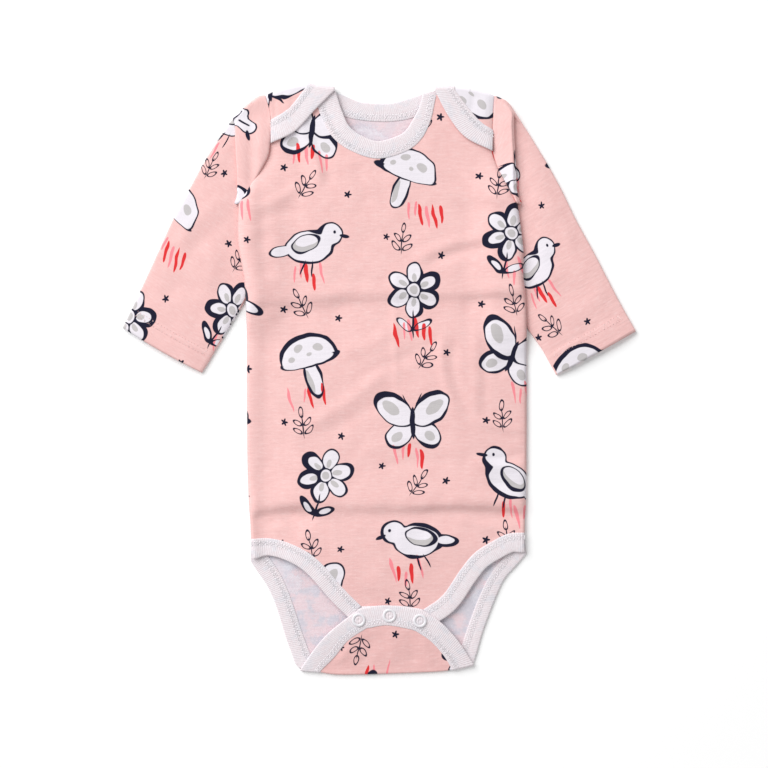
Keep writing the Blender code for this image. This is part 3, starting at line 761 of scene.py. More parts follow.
def knitWrong():
    # the inside of the cloth: paler, with the print only showing through, without a clear edge
    made, tree, shader = newMaterial("knitInside")
    place = clothPlace(tree)
    specks = patches(place, *knitBack["specks"])
    cloudy = patches(place, *knitBack["clouds"]) * (1 - parted(place)[1].eased(*knitBack["clear"]) * 0.6)
    ground = colourMix(patches(place, *knitBack["mottles"]) * 0.6, knitBack["ground"], knitBack["rosy"])
    ground = colourMix(cloudy * 0.85, ground, knitBack["blue"])
    shown = printColour(strayed(place, *knitBack["spread"]), ground, ghostInk)
    colour = colourMix(0.40 + specks * 0.4, ground, shown)
    colour = colourMix(specks * 0.3, colour, knitBack["bright"])
    feed(shader, {"Base Color": colour, **fabric(0.92, 0.15), **bumped(knitHeight(place), *knit["bump"])})
    return made


ribbing = {
    "pitch": 1.35,  # mm from one rib to the next
    "loop": 0.75,  # height of one row of loops, mm
    # the second colour is painted shade for the grooves between the ribs, also used for dark specks
    "colour": (0.835, 0.760, 0.792), "grooveShadeAndSpecks": (0.735, 0.640, 0.672), "bright": (0.88, 0.845, 0.875),
    # the last colour is painted shade for the sewn band, its needle holes and the gaps between ribs
    "blush": (0.825, 0.700, 0.725), "cool": (0.660, 0.680, 0.740), "sewnShade": (0.56, 0.50, 0.55),
    # patches. Columns: colour, share, shift across, along, how often, detail, roughness, low, high
    "patches": (
        ("blush", 0.50, 0, 0, 0.07, 2.0, 0.5, 0.35, 0.7),
        ("cool", 0.55, 90.0, 40.0, 0.11, 3.0, 0.6, 0.48, 0.66),
        ("grooveShadeAndSpecks", 0.30, 31.0, 7.0, 0.8, 3.0, 0.7, 0.50, 0.70),
        ("bright", 0.6, 0, 0, 0.55, 3.0, 0.7, 0.40, 0.68),
    ),
    "bump": (0.5, 0.00025),  # strength, m
    "rows": (0.9, 3.3),  # mm from the panel's edge to each row of stitches
    "stitch": 2.0,  # mm from one stitch to the next
    # how strong the painted shade is on the sewn cloth, in its needle holes and in the gaps between its ribs
    "sewn": 0.10, "hole": 0.22, "between": 0.20,
}


def ribKnit():
    made, tree, shader = newMaterial("whiteRibBinding")
    place = clothPlace(tree)
    x, y = parted(place)
    ridge = (abs((x / ribbing["pitch"]) % 1.0 - 0.5) * 2.0).eased(0.95, 0.3)
    loops = (y / ribbing["loop"] + (x / ribbing["pitch"]).floor() * 0.5) % 1.0
    loops = loops * (1 - loops) * 4.0
    # painted shade in the grooves between the ribs
    colour = colourMix(ridge * 0.62 + 0.38, ribbing["grooveShadeAndSpecks"], ribbing["colour"])
    for tone, share, across, along, often, detail, roughness, low, high in ribbing["patches"]:
        spread = vectorMaths("ADD", place, (across, along, 0))
        patch = noise(spread, often, detail, roughness).eased(low, high)
        colour = colourMix(patch * share, colour, ribbing[tone])
    # the cloth is pressed down where it is sewn through, with painted shade there
    rowOne, rowTwo = ribbing["rows"]
    sewn = y.eased(-0.4, 0.3) * y.eased(rowTwo + 1.6, rowTwo + 0.6)
    fromHole = abs(((x / ribbing["stitch"]) % 1.0) - 0.5)
    onRow = abs(y - rowOne).eased(0.75, 0.25).most(abs(y - rowTwo).eased(0.75, 0.25))
    # the ribs stand apart between the two rows, with painted shade in the gaps
    between = y.eased(rowOne - 0.3, rowOne + 0.4) * y.eased(rowTwo + 0.6, rowTwo - 0.2)
    for shade in (
        sewn * ribbing["sewn"], fromHole.eased(0.20, 0.08) * onRow * ribbing["hole"],
        fromHole.eased(0.36, 0.14) * between * ribbing["between"],
    ):
        colour = colourMix(shade, colour, ribbing["sewnShade"])
    height = ridge * 0.8 + loops * 0.25 + noise(place, 1.1) * 0.7 - onRow * 0.3
    feed(shader, {"Base Color": colour, **fabric(0.9, 0.12), **bumped(height, *ribbing["bump"])})
    return made


def threadMaterial(name, *colours):
    made, tree, shader = newMaterial(name)
    twist = noise(solidPlace(tree), 1.6).eased(0.3, 0.7)
    feed(shader, {"Base Color": colourMix(twist, *colours), **fabric(0.6, 0.1), **bumped(twist, 0.4, 0.0001)})
    return made


enamel = {
    "colours": ((0.82, 0.80, 0.835), (0.76, 0.735, 0.77)),
    "roughness": (0.22, 0.14),  # least, and what wear adds
    "coat": (0.5, 0.12),  # weight, roughness
}


def snapMaterial():
    made, tree, shader = newMaterial("snapEnamel")
    place = solidPlace(tree)
    worn = noise(place, 0.5, 3.0, 0.6).eased(0.35, 0.75)
    least, wear = enamel["roughness"]
    values = {"Base Color": colourMix(worn, *enamel["colours"]), "Roughness": least + worn * wear}
    values["Coat Weight"], values["Coat Roughness"] = enamel["coat"]
    feed(shader, {**values, **bumped(noise(place, 0.9), 0.12, 0.0001)})
    return made


looks = {
    "right": knitRight(), "wrong": knitWrong(), "rib": ribKnit(), "snap": snapMaterial(),
    "whiteThread": threadMaterial("whiteThread", (0.955, 0.935, 0.955), (0.91, 0.88, 0.90)),
    "pinkThread": threadMaterial("pinkThread", (0.95, 0.78, 0.77), (0.91, 0.68, 0.67)),
    # painted shade: dark beads standing for the shade in the hem's needle holes
    "holeShade": threadMaterial("needleHoles", (0.66, 0.38, 0.375), (0.58, 0.31, 0.31)),
}
print("materials made")


def newObject(name, content):
    obj = bpy.data.objects.new(name, content)
    bpy.context.scene.collection.objects.link(obj)
    return obj


def meshObject(name, data, materials):
    # a smooth object from a bmesh, which is freed
    mesh = bpy.data.meshes.new(name)
    data.to_mesh(mesh)
    data.free()
    for look in materials:
        mesh.materials.append(look)
    mesh.shade_smooth()
    return newObject(name, mesh)


def ringedObject(name, rings, places, look, looped):
    # closed rings of points, each joined to the next, with their places on the cut cloth;
    # the last ring goes on to the first if looped, and the two ends are closed if not
    data = bmesh.new()
    layer = data.loops.layers.uv.new("cloth")
    made = [[data.verts.new(point * mm) for point in ring] for ring in rings]
    count, size = len(rings), len(rings[0])
    corners = [
        ((i, j), ((i + 1) % count, j), ((i + 1) % count, (j + 1) % size), (i, (j + 1) % size))
        for i in range(count if looped else count - 1) for j in range(size)
    ]
    if not looped:
        corners += [[(end, j) for j in range(size)] for end in (0, count - 1)]
    for around in corners:
        face = data.faces.new([made[i][j] for i, j in around])
        for loop, (i, j) in zip(face.loops, around):
            loop[layer].uv = places[i][j] * mm
    bmesh.ops.recalc_face_normals(data, faces=data.faces)
    return meshObject(name, data, (look,))


def finished(guide, name):
    # one plain smooth object in place of a guide with modifiers
    graph = bpy.context.evaluated_depsgraph_get()
    mesh = bpy.data.meshes.new_from_object(guide.evaluated_get(graph), depsgraph=graph)
    bpy.data.batch_remove((guide, guide.data))
    mesh.name = name
    mesh.shade_smooth()
    return newObject(name, mesh)


def sheetObject(name, parts, upFaces):
    # parts are grids of points and of places on the cut cloth; they are merged where they meet and
    # given a wall, and the cloth's right side is up on the first part if upFaces
    verts, faces, uvs = [], [], []
    for points, places in parts:
        rows, across = points.shape[:2]
        start = len(verts)
        verts.extend((points.reshape(-1, 3) * mm).tolist())
        places = places.reshape(-1, 2) * mm
        for a in (r * across + c for r in range(rows - 1) for c in range(across - 1)):
            corners = (a, a + 1, a + across + 1, a + across)
            faces.append([start + i for i in corners])
            uvs.extend(places[i] for i in corners)
    plainMesh = bpy.data.meshes.new(name)
    plainMesh.from_pydata(verts, [], faces)
    plainMesh.uv_layers.new(name="cloth").data.foreach_set("uv", np.array(uvs, np.float32).ravel())
    data = bmesh.new()
    data.from_mesh(plainMesh)
    bpy.data.meshes.remove(plainMesh)
    bmesh.ops.remove_doubles(data, verts=data.verts, dist=cloth["merge"])
    bmesh.ops.recalc_face_normals(data, faces=data.faces)
    data.faces.ensure_lookup_table()
    rows, across = parts[0][0].shape[:2]
    middle = data.faces[(rows // 2) * (across - 1) + across // 2]
    if (middle.normal.z > 0) != upFaces:
        bmesh.ops.reverse_faces(data, faces=data.faces)
    guide = meshObject(name, data, (looks["right"], looks["wrong"]))
    solid = guide.modifiers.new("wall", "SOLIDIFY")
    solid.thickness, solid.offset = cloth["wall"] * mm, 0
    solid.material_offset, solid.material_offset_rim = 1, 0
    return finished(guide, name)


# Front panel

front = {
    "shoulder": {"left": (-68.0, 206.0), "right": (57.0, 205.4)},
    "neck": (
        (-50.6, 202.8), (-48.4, 196.4), (-45.4, 188.4), (-38.2, 175.4), (-26.2, 166.2), (-7.2, 160.2),
        (12.8, 165.3), (23.7, 174), (30.1, 187), (32.4, 197), (34.0, 204.4),
    ),
    "leg": {
        "left": (
            (-97.4, -115.5), (-86, -115), (-73, -117.6), (-58.5, -124.3), (-46.8, -133.9),
            (-32.1, -150.8), (-18.9, -164),
        ),
        "right": (
            (98.8, -111), (88, -111.6), (77.3, -116.5), (64, -125), (53.7, -137.3), (41, -155.6),
            (26.6, -166.2),
        ),
    },
    "tab": ((-18.9, -164), (-7, -163.6), (10, -163.6), (26.6, -166.2)),
    "flat": (0.205, 0.372), "area": 0.0640,
}
# steps along each part of a panel's edge
columns = {"shoulder": 3 * fine, "neck": 16 * fine, "leg": 7 * fine, "tab": 8 * fine}


def makeFront():
    neck = front["neck"]
    ends = {s: (seam[s][0], front["shoulder"][s]) for s in seam}
    top = chained(
        smooth((*ends["left"], neck[0]), columns["shoulder"]),
        smooth(neck, columns["neck"]),
        smooth((neck[-1], *ends["right"][::-1]), columns["shoulder"]),
    )
    bottom = chained(
        smooth(front["leg"]["left"], columns["leg"]),
        smooth(front["tab"], columns["tab"]),
        smooth(front["leg"]["right"][::-1], columns["leg"]),
    )
    plan = patch(top, bottom, edge["left"], edge["right"])
    return sheetObject("frontPanel", [(raised(plan, frontHeight), plan)], True)


# Back panel with its folded shoulders and crotch flap

back = {
    "shoulder": {
        "left": ((-87.0, 202.4), (-76.3, 206.4), (-65.2, 209.2), (-56.6, 210.2)),
        "right": ((77.2, 202.0), (70.6, 204.2), (58.0, 207.2), (47.2, 208.2)),
    },
    "lapEdge": {
        "left": ((-83.5, 185.4), (-73.4, 190.9), (-66.2, 197.9), (-58.8, 207.0)),
        "right": ((76.2, 178.0), (67.2, 183.5), (57.8, 194.2), (49.0, 205.0)),
    },
    "crotchFold": ((-49, -209.0), (-34, -210.8), (0, -210.1), (33, -208.8), (48, -207.4)),
    "armholeSteps": 200, "lapRows": 14, "flapRows": 24, "flapCorner": (1.5, 1.6),
    "printShift": (31.0, -17.0),  # the back was cut elsewhere on the cloth
    "flat": (0.214, 0.490), "area": 0.0790,
}
# Bindings that run over a fold. Columns: x, y on the panel's edge, x, y on the rib's own fold
backNeckRib = {
    "lap left": (
        (-83.5, 185.4, -83.5, 170.0), (-73.4, 190.9, -66.2, 178.3), (-66.0, 197.8, -51.5, 193.8),
        (-56.6, 210.2, -37.6, 207.5),
    ),
    "neck": (
        (-56.6, 210.2, -37.6, 207.5), (-46.5, 200.6, -29.8, 204.2), (-30.0, 190.8, -20.0, 200.2),
        (-15.0, 187.9, -10.0, 199.0), (3.0, 187.4, 1.0, 198.9), (19.0, 190.2, 12.0, 201.4),
        (33.0, 197.9, 24.0, 205.2), (47.2, 208.2, 34.0, 208.2),
    ),
    "lap right": (
        (47.2, 208.2, 34.0, 208.2), (57.5, 194.0, 43.6, 189.8), (67.2, 183.5, 56.2, 174.2),
        (76.2, 178.0, 75.8, 164.4),
    ),
}
backLegRib = {
    "leg left": (
        (-97.4, -115.5, -98.0, -130.4), (-85.2, -129.3, -94.4, -136.0), (-76.5, -143.3, -86.2, -148.2),
        (-69.8, -159.4, -80.2, -161.8), (-62.2, -182.4, -73.2, -184.2), (-57.0, -196.0, -68.2, -198.0),
        (-53.0, -204.0, -66.0, -204.0), (-49.0, -209.0, -62.4, -208.0),
    ),
    "flap": (
        (-49.0, -209.0, -62.4, -208.0), (-38.4, -197.8, -50.4, -190.8), (-29.1, -186.4, -38.8, -178.6),
        (-16.4, -177.6, -22.6, -166.2), (-12.4, -176.4, -17.6, -163.4), (0.5, -174.6, 0.2, -161.6),
        (17.5, -177.7, 21.8, -164.2), (23.6, -180.4, 29.4, -167.4), (32.6, -186.8, 40.4, -175.4),
        (41.8, -197.2, 51.4, -187.6), (48.0, -207.4, 62.2, -204.0),
    ),
    "leg right": (
        (48.0, -207.4, 62.2, -204.0), (54.2, -194.0, 64.9, -195.4), (59.6, -178.0, 69.3, -180.1),
        (67.8, -156.0, 78.2, -156.6), (75.6, -140.6, 84.5, -143.2), (86.0, -126.6, 93.2, -133.3),
        (98.8, -111.0, 100.3, -125.0),
    ),
}


def panelEdge(ribRows, count):
    return smooth([row[:2] for row in ribRows], count)


def foldedOver(turn, top, plan, foldY):
    # the parts of a folded end, round the fold and on top, with their places before it was folded
    turn = np.array(turn).transpose(1, 0, 2)
    turnPlace = np.stack([turn[..., 0], np.broadcast_to(foldY, turn.shape[:2])], axis=-1)
    topPlace = np.stack([plan[..., 0], 2 * foldY - plan[..., 1]], axis=-1)
    return [(turn, turnPlace), (top, topPlace)]


def makeLap(s, foldPoints):
    armhole = smooth(seam[s], back["armholeSteps"])
    hem = smooth(back["lapEdge"][s], columns["shoulder"])
    armSide = smooth(armhole[armhole[:, 1] >= hem[0, 1] - cloth["gap"]], back["lapRows"])
    armSide[-1] = hem[0]
    neckSide = np.linspace(foldPoints[-1], hem[-1], back["lapRows"] + 1)
    plan = patch(foldPoints, hem, armSide, neckSide)
    lap = raised(plan, lapHeight)
    atSeam = unit(edge[s][0] - edge[s][1])
    turn = []
    for column, point in enumerate(foldPoints):
        share = column / columns["shoulder"]
        outwards = unit(atSeam * (1 - share) + towardsNeck * share)
        turn.append(bend(raised(point, backHeight), lap[0, column], outwards, cloth["foldSteps"]))
    return foldedOver(turn, lap, plan, foldPoints[:, 1])


def makeFlap(foldPoints):
    hem = panelEdge(backLegRib["flap"], columns["tab"])
    inX, inY = back["flapCorner"]
    left = np.linspace(foldPoints[0], hem[0] + (inX, inY), back["flapRows"] + 1)
    right = np.linspace(foldPoints[-1], hem[-1] + (-inX, inY), back["flapRows"] + 1)
    hem[0], hem[-1] = left[-1], right[-1]
    plan = patch(foldPoints, hem, left, right)
    flap = raised(plan, flapHeight)
    turn = [
        bend(raised(point, backHeight), high, -towardsNeck, cloth["foldSteps"])
        for point, high in zip(foldPoints, flap[0])
    ]
    return foldedOver(turn, flap, plan, foldPoints[:, 1])


def makeBack():
    left, right = (smooth(back["shoulder"][s], columns["shoulder"]) for s in seam)
    legLeft, legRight = (panelEdge(backLegRib["leg " + s], columns["leg"]) for s in seam)
    fold = smooth(back["crotchFold"], columns["tab"])
    top = chained(left, panelEdge(backNeckRib["neck"], columns["neck"]), right[::-1])
    plan = patch(top, chained(legLeft, fold, legRight), edge["left"], edge["right"])
    parts = [(raised(plan, backHeight), plan)]
    parts += makeLap("left", left) + makeLap("right", right) + makeFlap(fold)
    return sheetObject("backPanel", [(points, place + back["printShift"]) for points, place in parts], False)


frontPanel = makeFront()
print("front panel made:", len(frontPanel.data.polygons), "faces")
backPanel = makeBack()
print("back panel made:", len(backPanel.data.polygons), "faces")


# Sleeves

sleeves = {
    "stations": 8, "pleatRows": 8, "stepsAcross": 4, "stepsAlong": 9, "turnSteps": 2,
    "pleatFull": 3.0, "pleatSpread": 0.35,
    "lapAtSeam": 2.4, "lapStations": (1.5, 4),  # how much the lap raises the seam, and over which stations
    "seamGap": 0.04,  # mm between sleeve and body
    "fullness": {"left": 0.38, "right": 0.85},  # share of the table's crown
    # how the top of the head's fold lies: mm in from its edge where it is highest, drop from there
    "foldRoll": {"left": 20.5, "right": 2.8}, "foldDrop": {"left": 0.3, "right": 0.6},
    "foldRise": {"left": 0.0, "right": 2.4}, "middleRise": {"left": 0.0, "right": 1.2},
    # least share of the head's fold before its top, and share of the width before a covered part falls
    "foldFirst": 0.06, "underFalls": 0.45,
    "flat": {"left": (0.158, 0.205), "right": (0.150, 0.200)}, "area": {"left": 0.0212, "right": 0.0200},
    # fold edge of the head. Columns: x, y, depth of the pleat, height of its top, height of its middle
    "pleat": {
        "left": (
            (-101.0, 196.0, -6.0, 2.9, 2.4), (-106.4, 188.6, -4.0, 3.1, 2.6), (-107.5, 180.0, 1.0, 3.9, 2.8),
            (-107.3, 170.6, 4.5, 4.6, 2.9), (-107.0, 161.3, 7.0, 4.7, 2.9), (-106.6, 151.9, 8.0, 4.8, 2.9),
            (-106.6, 142.6, 6.5, 4.9, 2.9), (-107.2, 133.9, 2.5, 5.2, 3.2), (-108.3, 126.2, 0.0, 5.4, 3.4),
        ),
        "right": (
            (86.5, 198.2, -3.0, 2.9, 2.4), (90.6, 191.6, 3.0, 4.2, 3.0), (90.5, 184.0, 6.0, 4.7, 3.2),
            (90.8, 175.0, 8.0, 4.7, 3.2), (91.4, 164.9, 9.0, 4.7, 3.2), (91.9, 154.1, 8.5, 4.7, 3.2),
            (92.3, 143.3, 6.5, 4.8, 3.2), (93.0, 134.6, 2.5, 4.9, 3.2), (95.5, 126.2, 0.0, 4.7, 3.2),
        ),
    },
    "head": {
        "left": ((-87.0, 202.4), (-93.2, 201.2), (-102.4, 194.4), (-111.3, 185.5)),
        "right": ((77.2, 202.0), (85.6, 198.4), (93.2, 188.6), (99.8, 178.7)),
    },
    # sections, head to cuff. Columns: x, y of the outer edge, x, y of the inner, crown, clear share, bow
    "sections": {
        "left": (
            (-111.3, 185.5, -97.2, 113.8, 0.7, 0.6, 0.0), (-119.2, 173.7, -92.6, 103.7, 1.3, 0.6, 0.0),
            (-129.3, 157.9, -91.7, 92.2, 1.8, 0.62, 0.0), (-140.8, 137.0, -94.6, 76.3, 2.0, 0.74, 0.0),
            (-152.4, 115.4, -102.5, 58.9, 2.0, 0.94, 0.0), (-163.2, 91.7, -112.2, 42.0, 2.0, 1.0, 0.2),
            (-173.2, 70.1, -123.4, 23.6, 1.8, 1.0, 0.4), (-181.2, 52.8, -128.4, 15.0, 1.5, 1.0, 0.7),
            (-189.0, 36.8, -134.2, 5.8, 0.9, 1.0, 1.0),
        ),
        "right": (
            (99.8, 178.7, 88.0, 112.0, 0.7, 0.6, 0.0), (106.3, 168.0, 83.5, 101.0, 1.3, 0.5, 0.0),
            (114.9, 153.6, 82.0, 88.0, 1.8, 0.5, 0.0), (124.3, 136.3, 85.0, 71.0, 2.0, 0.66, 0.0),
            (135.1, 114.0, 93.0, 54.5, 2.0, 0.84, 0.0), (147.3, 91.7, 101.5, 38.5, 2.0, 1.0, 0.1),
            (158.1, 70.8, 111.9, 23.6, 1.8, 1.0, 0.2), (166.8, 54.2, 117.6, 13.5, 1.5, 1.0, 0.3),
            (177.9, 34.4, 122.8, 4.2, 0.9, 1.0, 0.3),
        ),
    },
    # creases of the upper layer. Columns as in the front's folds
    "folds": {
        "left": (
            (-104, 190, -124, 160, 3, 5, -0.3), (-112, 178, -120, 150, 2, 6, 0.25),
            (-110, 132, -150, 100, 4, 6, 0.55), (-112, 116, -146, 84, 3, 5, -0.45),
            (-150, 112, -128, 70, 3, 7, 0.35), (-116, 62, -160, 64, 3, 6, -0.35),
            (-170, 70, -140, 44, 2, 6, 0.3), (-122, 96, -136, 58, -3, 6, 0.35),
        ),
        "right": (
            (92, 188, 112, 158, -3, 5, -0.2), (112, 166, 118, 144, -2, 6, 0.2),
            (98, 132, 134, 102, -4, 6, 0.55), (100, 114, 132, 84, -3, 5, -0.45),
            (136, 112, 116, 70, -3, 7, 0.35), (106, 58, 148, 62, -3, 6, -0.35),
            (158, 66, 128, 40, -2, 6, 0.3), (110, 96, 122, 56, 3, 6, 0.35),
        ),
    },
    "headFolds": {
        "left": ((-89.8, 192, -91.5, 146, 0, 2.4, 0.45), (-97.6, 186, -97.6, 136, 0, 3.4, -1.15)),
        "right": ((82, 190, 83, 160, 0, 2.6, 0.3), (86, 150, 88, 126, 0, 2.6, -0.3)),
    },
    "headFoldRows": (1.9, 2.3),  # rows of the pleat from where to where the head's folds run out
    # where the creases begin: rows from the head, share of the width
    "reliefRows": (-9, 15), "reliefEdge": 0.16,
    "creaseFloor": -0.8, "creaseAtCuff": (0.3, 14),  # lowest; share left at the cuff, and how far up it grows
    "rippleShift": 400,  # so that their ripples aren't the front's, mm
    "hem": (16.7, 14.9),  # mm from the cuff where the turned hem begins and is whole
    "hemRows": (12.3, 16.2),  # mm from the cuff to each row of needle holes
    "hemRise": 0.45, "groove": (0.28, 0.9),  # of a row of holes: depth, width
    "printShift": {"left": (20.0, 55.0), "right": (-8.0, 21.0)},
}


def pleatChain(s, start, fold, depth, heights):
    # the points from the seam over the head's fold and back under it to the lower layer
    base, top, middle, low = heights
    middle = middle + sleeves["middleRise"][s]
    turn = (middle - low) / 2
    reach = np.linalg.norm(fold - start)
    crease = reach - depth
    turned = np.clip(depth / sleeves["pleatFull"], -1, 1)
    spread = sleeves["pleatSpread"] * (1 - abs(turned))
    highest = top + sleeves["foldRise"][s]
    rolled = highest - sleeves["foldDrop"][s]
    along = (
        (sleeves["seamGap"], base),
        (max(reach - sleeves["foldRoll"][s], reach * sleeves["foldFirst"]), highest),
        (reach - turn, rolled), (reach, (rolled + middle) / 2),
        (reach - turn * turned, middle + spread), (crease + turn * turned, middle - spread),
        (crease, (middle + low) / 2), (crease + turn, low),
    )
    outwards = unit(fold - start)
    return [np.array((*(start + outwards * distance), z)) for distance, z in along]


def sleeveCage(s):
    stations, pleatRows = sleeves["stations"], sleeves["pleatRows"]
    armhole = smooth(seam[s], stations)
    flatLow, flatTop = cloth["wall"] / 2, cloth["wall"] * 1.5 + cloth["gap"]
    share = np.linspace(0, 1, stations + 1)
    sections = np.array(sleeves["sections"][s])
    upper = np.zeros((pleatRows + len(sections), stations + 1, 3))
    lower = np.zeros_like(upper)
    for row, (ox, oy, ix, iy, height, clear, bow) in enumerate(sections, pleatRows):
        outer, inner = np.array((ox, oy)), np.array((ix, iy))
        down = unit(np.array((oy - iy, ix - ox)) * (1 if s == "right" else -1))
        plan = outer + (inner - outer) * share[:, None] + down * (bow * 4 * share * (1 - share))[:, None]
        # a quick rise at the outer edge, a slow one where the sleeve comes out from under the body
        t = np.clip(share / clear, 0, 1)
        falling = ramp(t, sleeves["underFalls"], 1) if clear < 1 else np.clip(2 * t - 1, 0, 1) ** 4
        arch = (1 - np.clip(1 - 2 * t, 0, 1) ** 4) * (1 - falling)
        upper[row, :, :2] = lower[row, :, :2] = plan
        upper[row, :, 2] = flatTop + height * sleeves["fullness"][s] * arch
        lower[row, :, 2] = flatLow
    head = smooth(sleeves["head"][s], pleatRows)
    for station, (fx, fy, depth, top, middle) in enumerate(sleeves["pleat"][s]):
        start = armhole[station]
        base = frontPlain(*start) + sleeves["lapAtSeam"] * (1 - ramp(station, *sleeves["lapStations"]))
        chain = pleatChain(s, start, np.array((fx, fy)), depth, (base, top, middle, flatTop))
        first = unit(np.array((fx, fy)) - start) * sleeves["seamGap"] + start
        for row in range(pleatRows):
            part = row / pleatRows
            if station == 0:
                outer = head[row] + (first - start) * (1 - part)
                upper[row, 0] = (*outer, base + (flatTop - base) * part)
                lower[row, 0] = (*outer, flatLow)
            else:
                upper[row, station] = chain[row]
                lower[row, station] = (*(first + (lower[pleatRows, station, :2] - first) * part), flatLow)
    return upper, lower


def finer(grid):
    along = splined(grid, sleeves["stepsAlong"])
    return splined(along.transpose(1, 0, 2), sleeves["stepsAcross"]).transpose(1, 0, 2)


def sleevePlaces(s, grid, sign):
    # across: from the outer edge; along: up from the cuff, following every fold
    steps = np.linalg.norm(np.diff(grid, axis=0), axis=2)
    along = np.cumsum(np.vstack([np.zeros(grid.shape[1]), steps[::-1]]), axis=0)[::-1]
    across = np.linalg.norm(grid[:, :, :2] - grid[:, :1, :2], axis=2)
    return np.stack([across * sign, along], axis=-1) + sleeves["printShift"][s]


def makeSleeve(s):
    upper, lower = sleeveCage(s)
    pleatRows, turnSteps = sleeves["pleatRows"], sleeves["turnSteps"]
    outerTurn, innerTurn = [], []
    for row in range(len(upper)):
        outwards = unit(upper[row, 0, :2] - lower[row, 1, :2])
        outerTurn.append(bend(lower[row, 0], upper[row, 0], outwards, turnSteps))
        if row >= pleatRows:
            inwards = unit(lower[row, -1, :2] - lower[row, -2, :2])
            innerTurn.append(bend(lower[row, -1], upper[row, -1], inwards, turnSteps))
    shell = finer(np.concatenate([upper[:, ::-1], np.array(outerTurn)[:, ::-1][:, 1:-1], lower], axis=1))
    outer = sleeves["stations"] * sleeves["stepsAcross"]
    top, below = shell[:, outer::-1], shell[:, outer:]
    side = -1 if s == "left" else 1
    topPlaces, belowPlaces = sleevePlaces(s, top, -side), sleevePlaces(s, below, side)
    firstOpen = pleatRows * sleeves["stepsAlong"]
    inner = finer(np.array(innerTurn))
    inner[:, 0], inner[:, -1] = below[firstOpen:, -1], top[firstOpen:, -1]

    # creases, waves and the turned hem of the upper layer
    top = top.copy()
    x, y = top[..., 0], top[..., 1]
    fromCuff = topPlaces[..., 1] - sleeves["printShift"][s][1]
    span = np.linspace(0, 1, top.shape[1])[None, :]
    rows = np.arange(len(top))[:, None]
    low, high = sleeves["reliefRows"]
    clear = np.clip(np.minimum(span, 1 - span) / sleeves["reliefEdge"], 0, 1)
    clear = clear * ramp(rows, firstOpen + low, firstOpen + high)
    relief = folded(sleeves["folds"][s], x, y) + swell(x, y, form["lightSwell"])
    relief = relief + rippled(x + sleeves["rippleShift"], y, form["ripple"])
    low, high = sleeves["headFoldRows"]
    onHead = ramp(rows, 0, 5) * ramp(rows, high * sleeves["stepsAlong"], low * sleeves["stepsAlong"])
    hem = sleeves["hemRise"] * ramp(fromCuff, *sleeves["hem"])
    deep, wide = sleeves["groove"]
    groove = sum(deep * np.exp(-(((fromCuff - row) / wide) ** 2)) for row in sleeves["hemRows"])
    least, reach = sleeves["creaseAtCuff"]
    relief = np.maximum(relief, sleeves["creaseFloor"]) * (least + (1 - least) * ramp(fromCuff, 0, reach))
    top[..., 2] += onHead * folded(sleeves["headFolds"][s], x, y) + clear * (relief + hem - groove)

    innerPlaces = np.repeat(belowPlaces[firstOpen:, -1:], inner.shape[1], axis=1)
    parts = [(top, topPlaces), (below, belowPlaces), (inner, innerPlaces)]
    return sheetObject("sleeve" + s.capitalize(), parts, True), top, fromCuff


sleeveParts = {s: makeSleeve(s) for s in seam}
print("sleeves made:", [len(sleeveParts[s][0].data.polygons) for s in seam], "faces")


# Rib bindings

rib = {
    # widths of the bindings. Columns: share of the way along the edge, left to right or down, width
    "neckWidth": ((0, 14.4), (0.5, 11.2), (0.78, 11.2), (1, 8.2)),
    "legWidth": {"left": ((0, 13.0), (0.15, 11.0)), "right": ((0, 13.0), (0.15, 12.2))},
    "tabWidth": ((0, 11.0),),
    # half of the section, from the lip over the panel: mm from the panel's edge, mm from the middle
    "lip": ((-1.4, 0.44), (-1.1, 0.60), (-0.2, 0.74), (0.9, 0.69), (2.1, 0.80), (3.3, 0.70), (4.6, 0.80)),
    # on to the rib's fold: share of the width, mm from the middle
    "fold": ((0.66, 0.80), (0.90, 0.79), (0.965, 0.68), (0.99, 0.45), (1.0, 0.16)),
    # height of the stitches, mm from the middle, where it faces down and where it faces up
    "stitchHeights": (0.63, 0.80),
}


def ribRaised(points, height):
    return raised(points, lambda x, y: height(x, y) + (cloth["rib"] - cloth["wall"]) / 2)


def edgeSections(points, count, widthRows, sign, height):
    # sections of a binding along an edge of the front: its two edges and which way is up
    line = smooth(points, count)
    along = np.gradient(line, axis=0)
    across = np.column_stack([-along[:, 1], along[:, 0]]) * sign
    across /= np.linalg.norm(across, axis=1)[:, None]
    share = np.linspace(0, 1, len(line))
    widths = np.full(len(line), widthRows[0][1])
    for (start, one), (end, two) in zip(widthRows, widthRows[1:]):
        widths += (two - one) * ramp(share, start, end)
    inner = ribRaised(line, height)
    outer = np.column_stack([line + across * widths[:, None], inner[:, 2]])
    return [(a, b, up) for a, b in zip(inner, outer)]


def stretchSections(rows, count, height, face):
    rows = smooth(rows, count)
    return [(a, b, up * face) for a, b in zip(ribRaised(rows[:, :2], height), ribRaised(rows[:, 2:], height))]


def turnSections(one, two, outwards):
    # the sections round a fold between two stretches
    low, high = (one, two) if one[0][2] < two[0][2] else (two, one)
    steps = cloth["foldSteps"]
    inner, outer = (bend(low[side], high[side], outwards, steps) for side in (0, 1))
    made = []
    for step in range(1, steps):
        angle = math.pi * step / steps
        normal = np.array((*(outwards * math.sin(angle)), -math.cos(angle)))
        made.append((inner[step], outer[step], normal))
    return made if low is one else made[::-1]


def runSections(outwards, *stretches):
    sections = list(stretches[0])
    for following in stretches[1:]:
        sections += turnSections(sections[-1], following[0], outwards) + following
    return sections


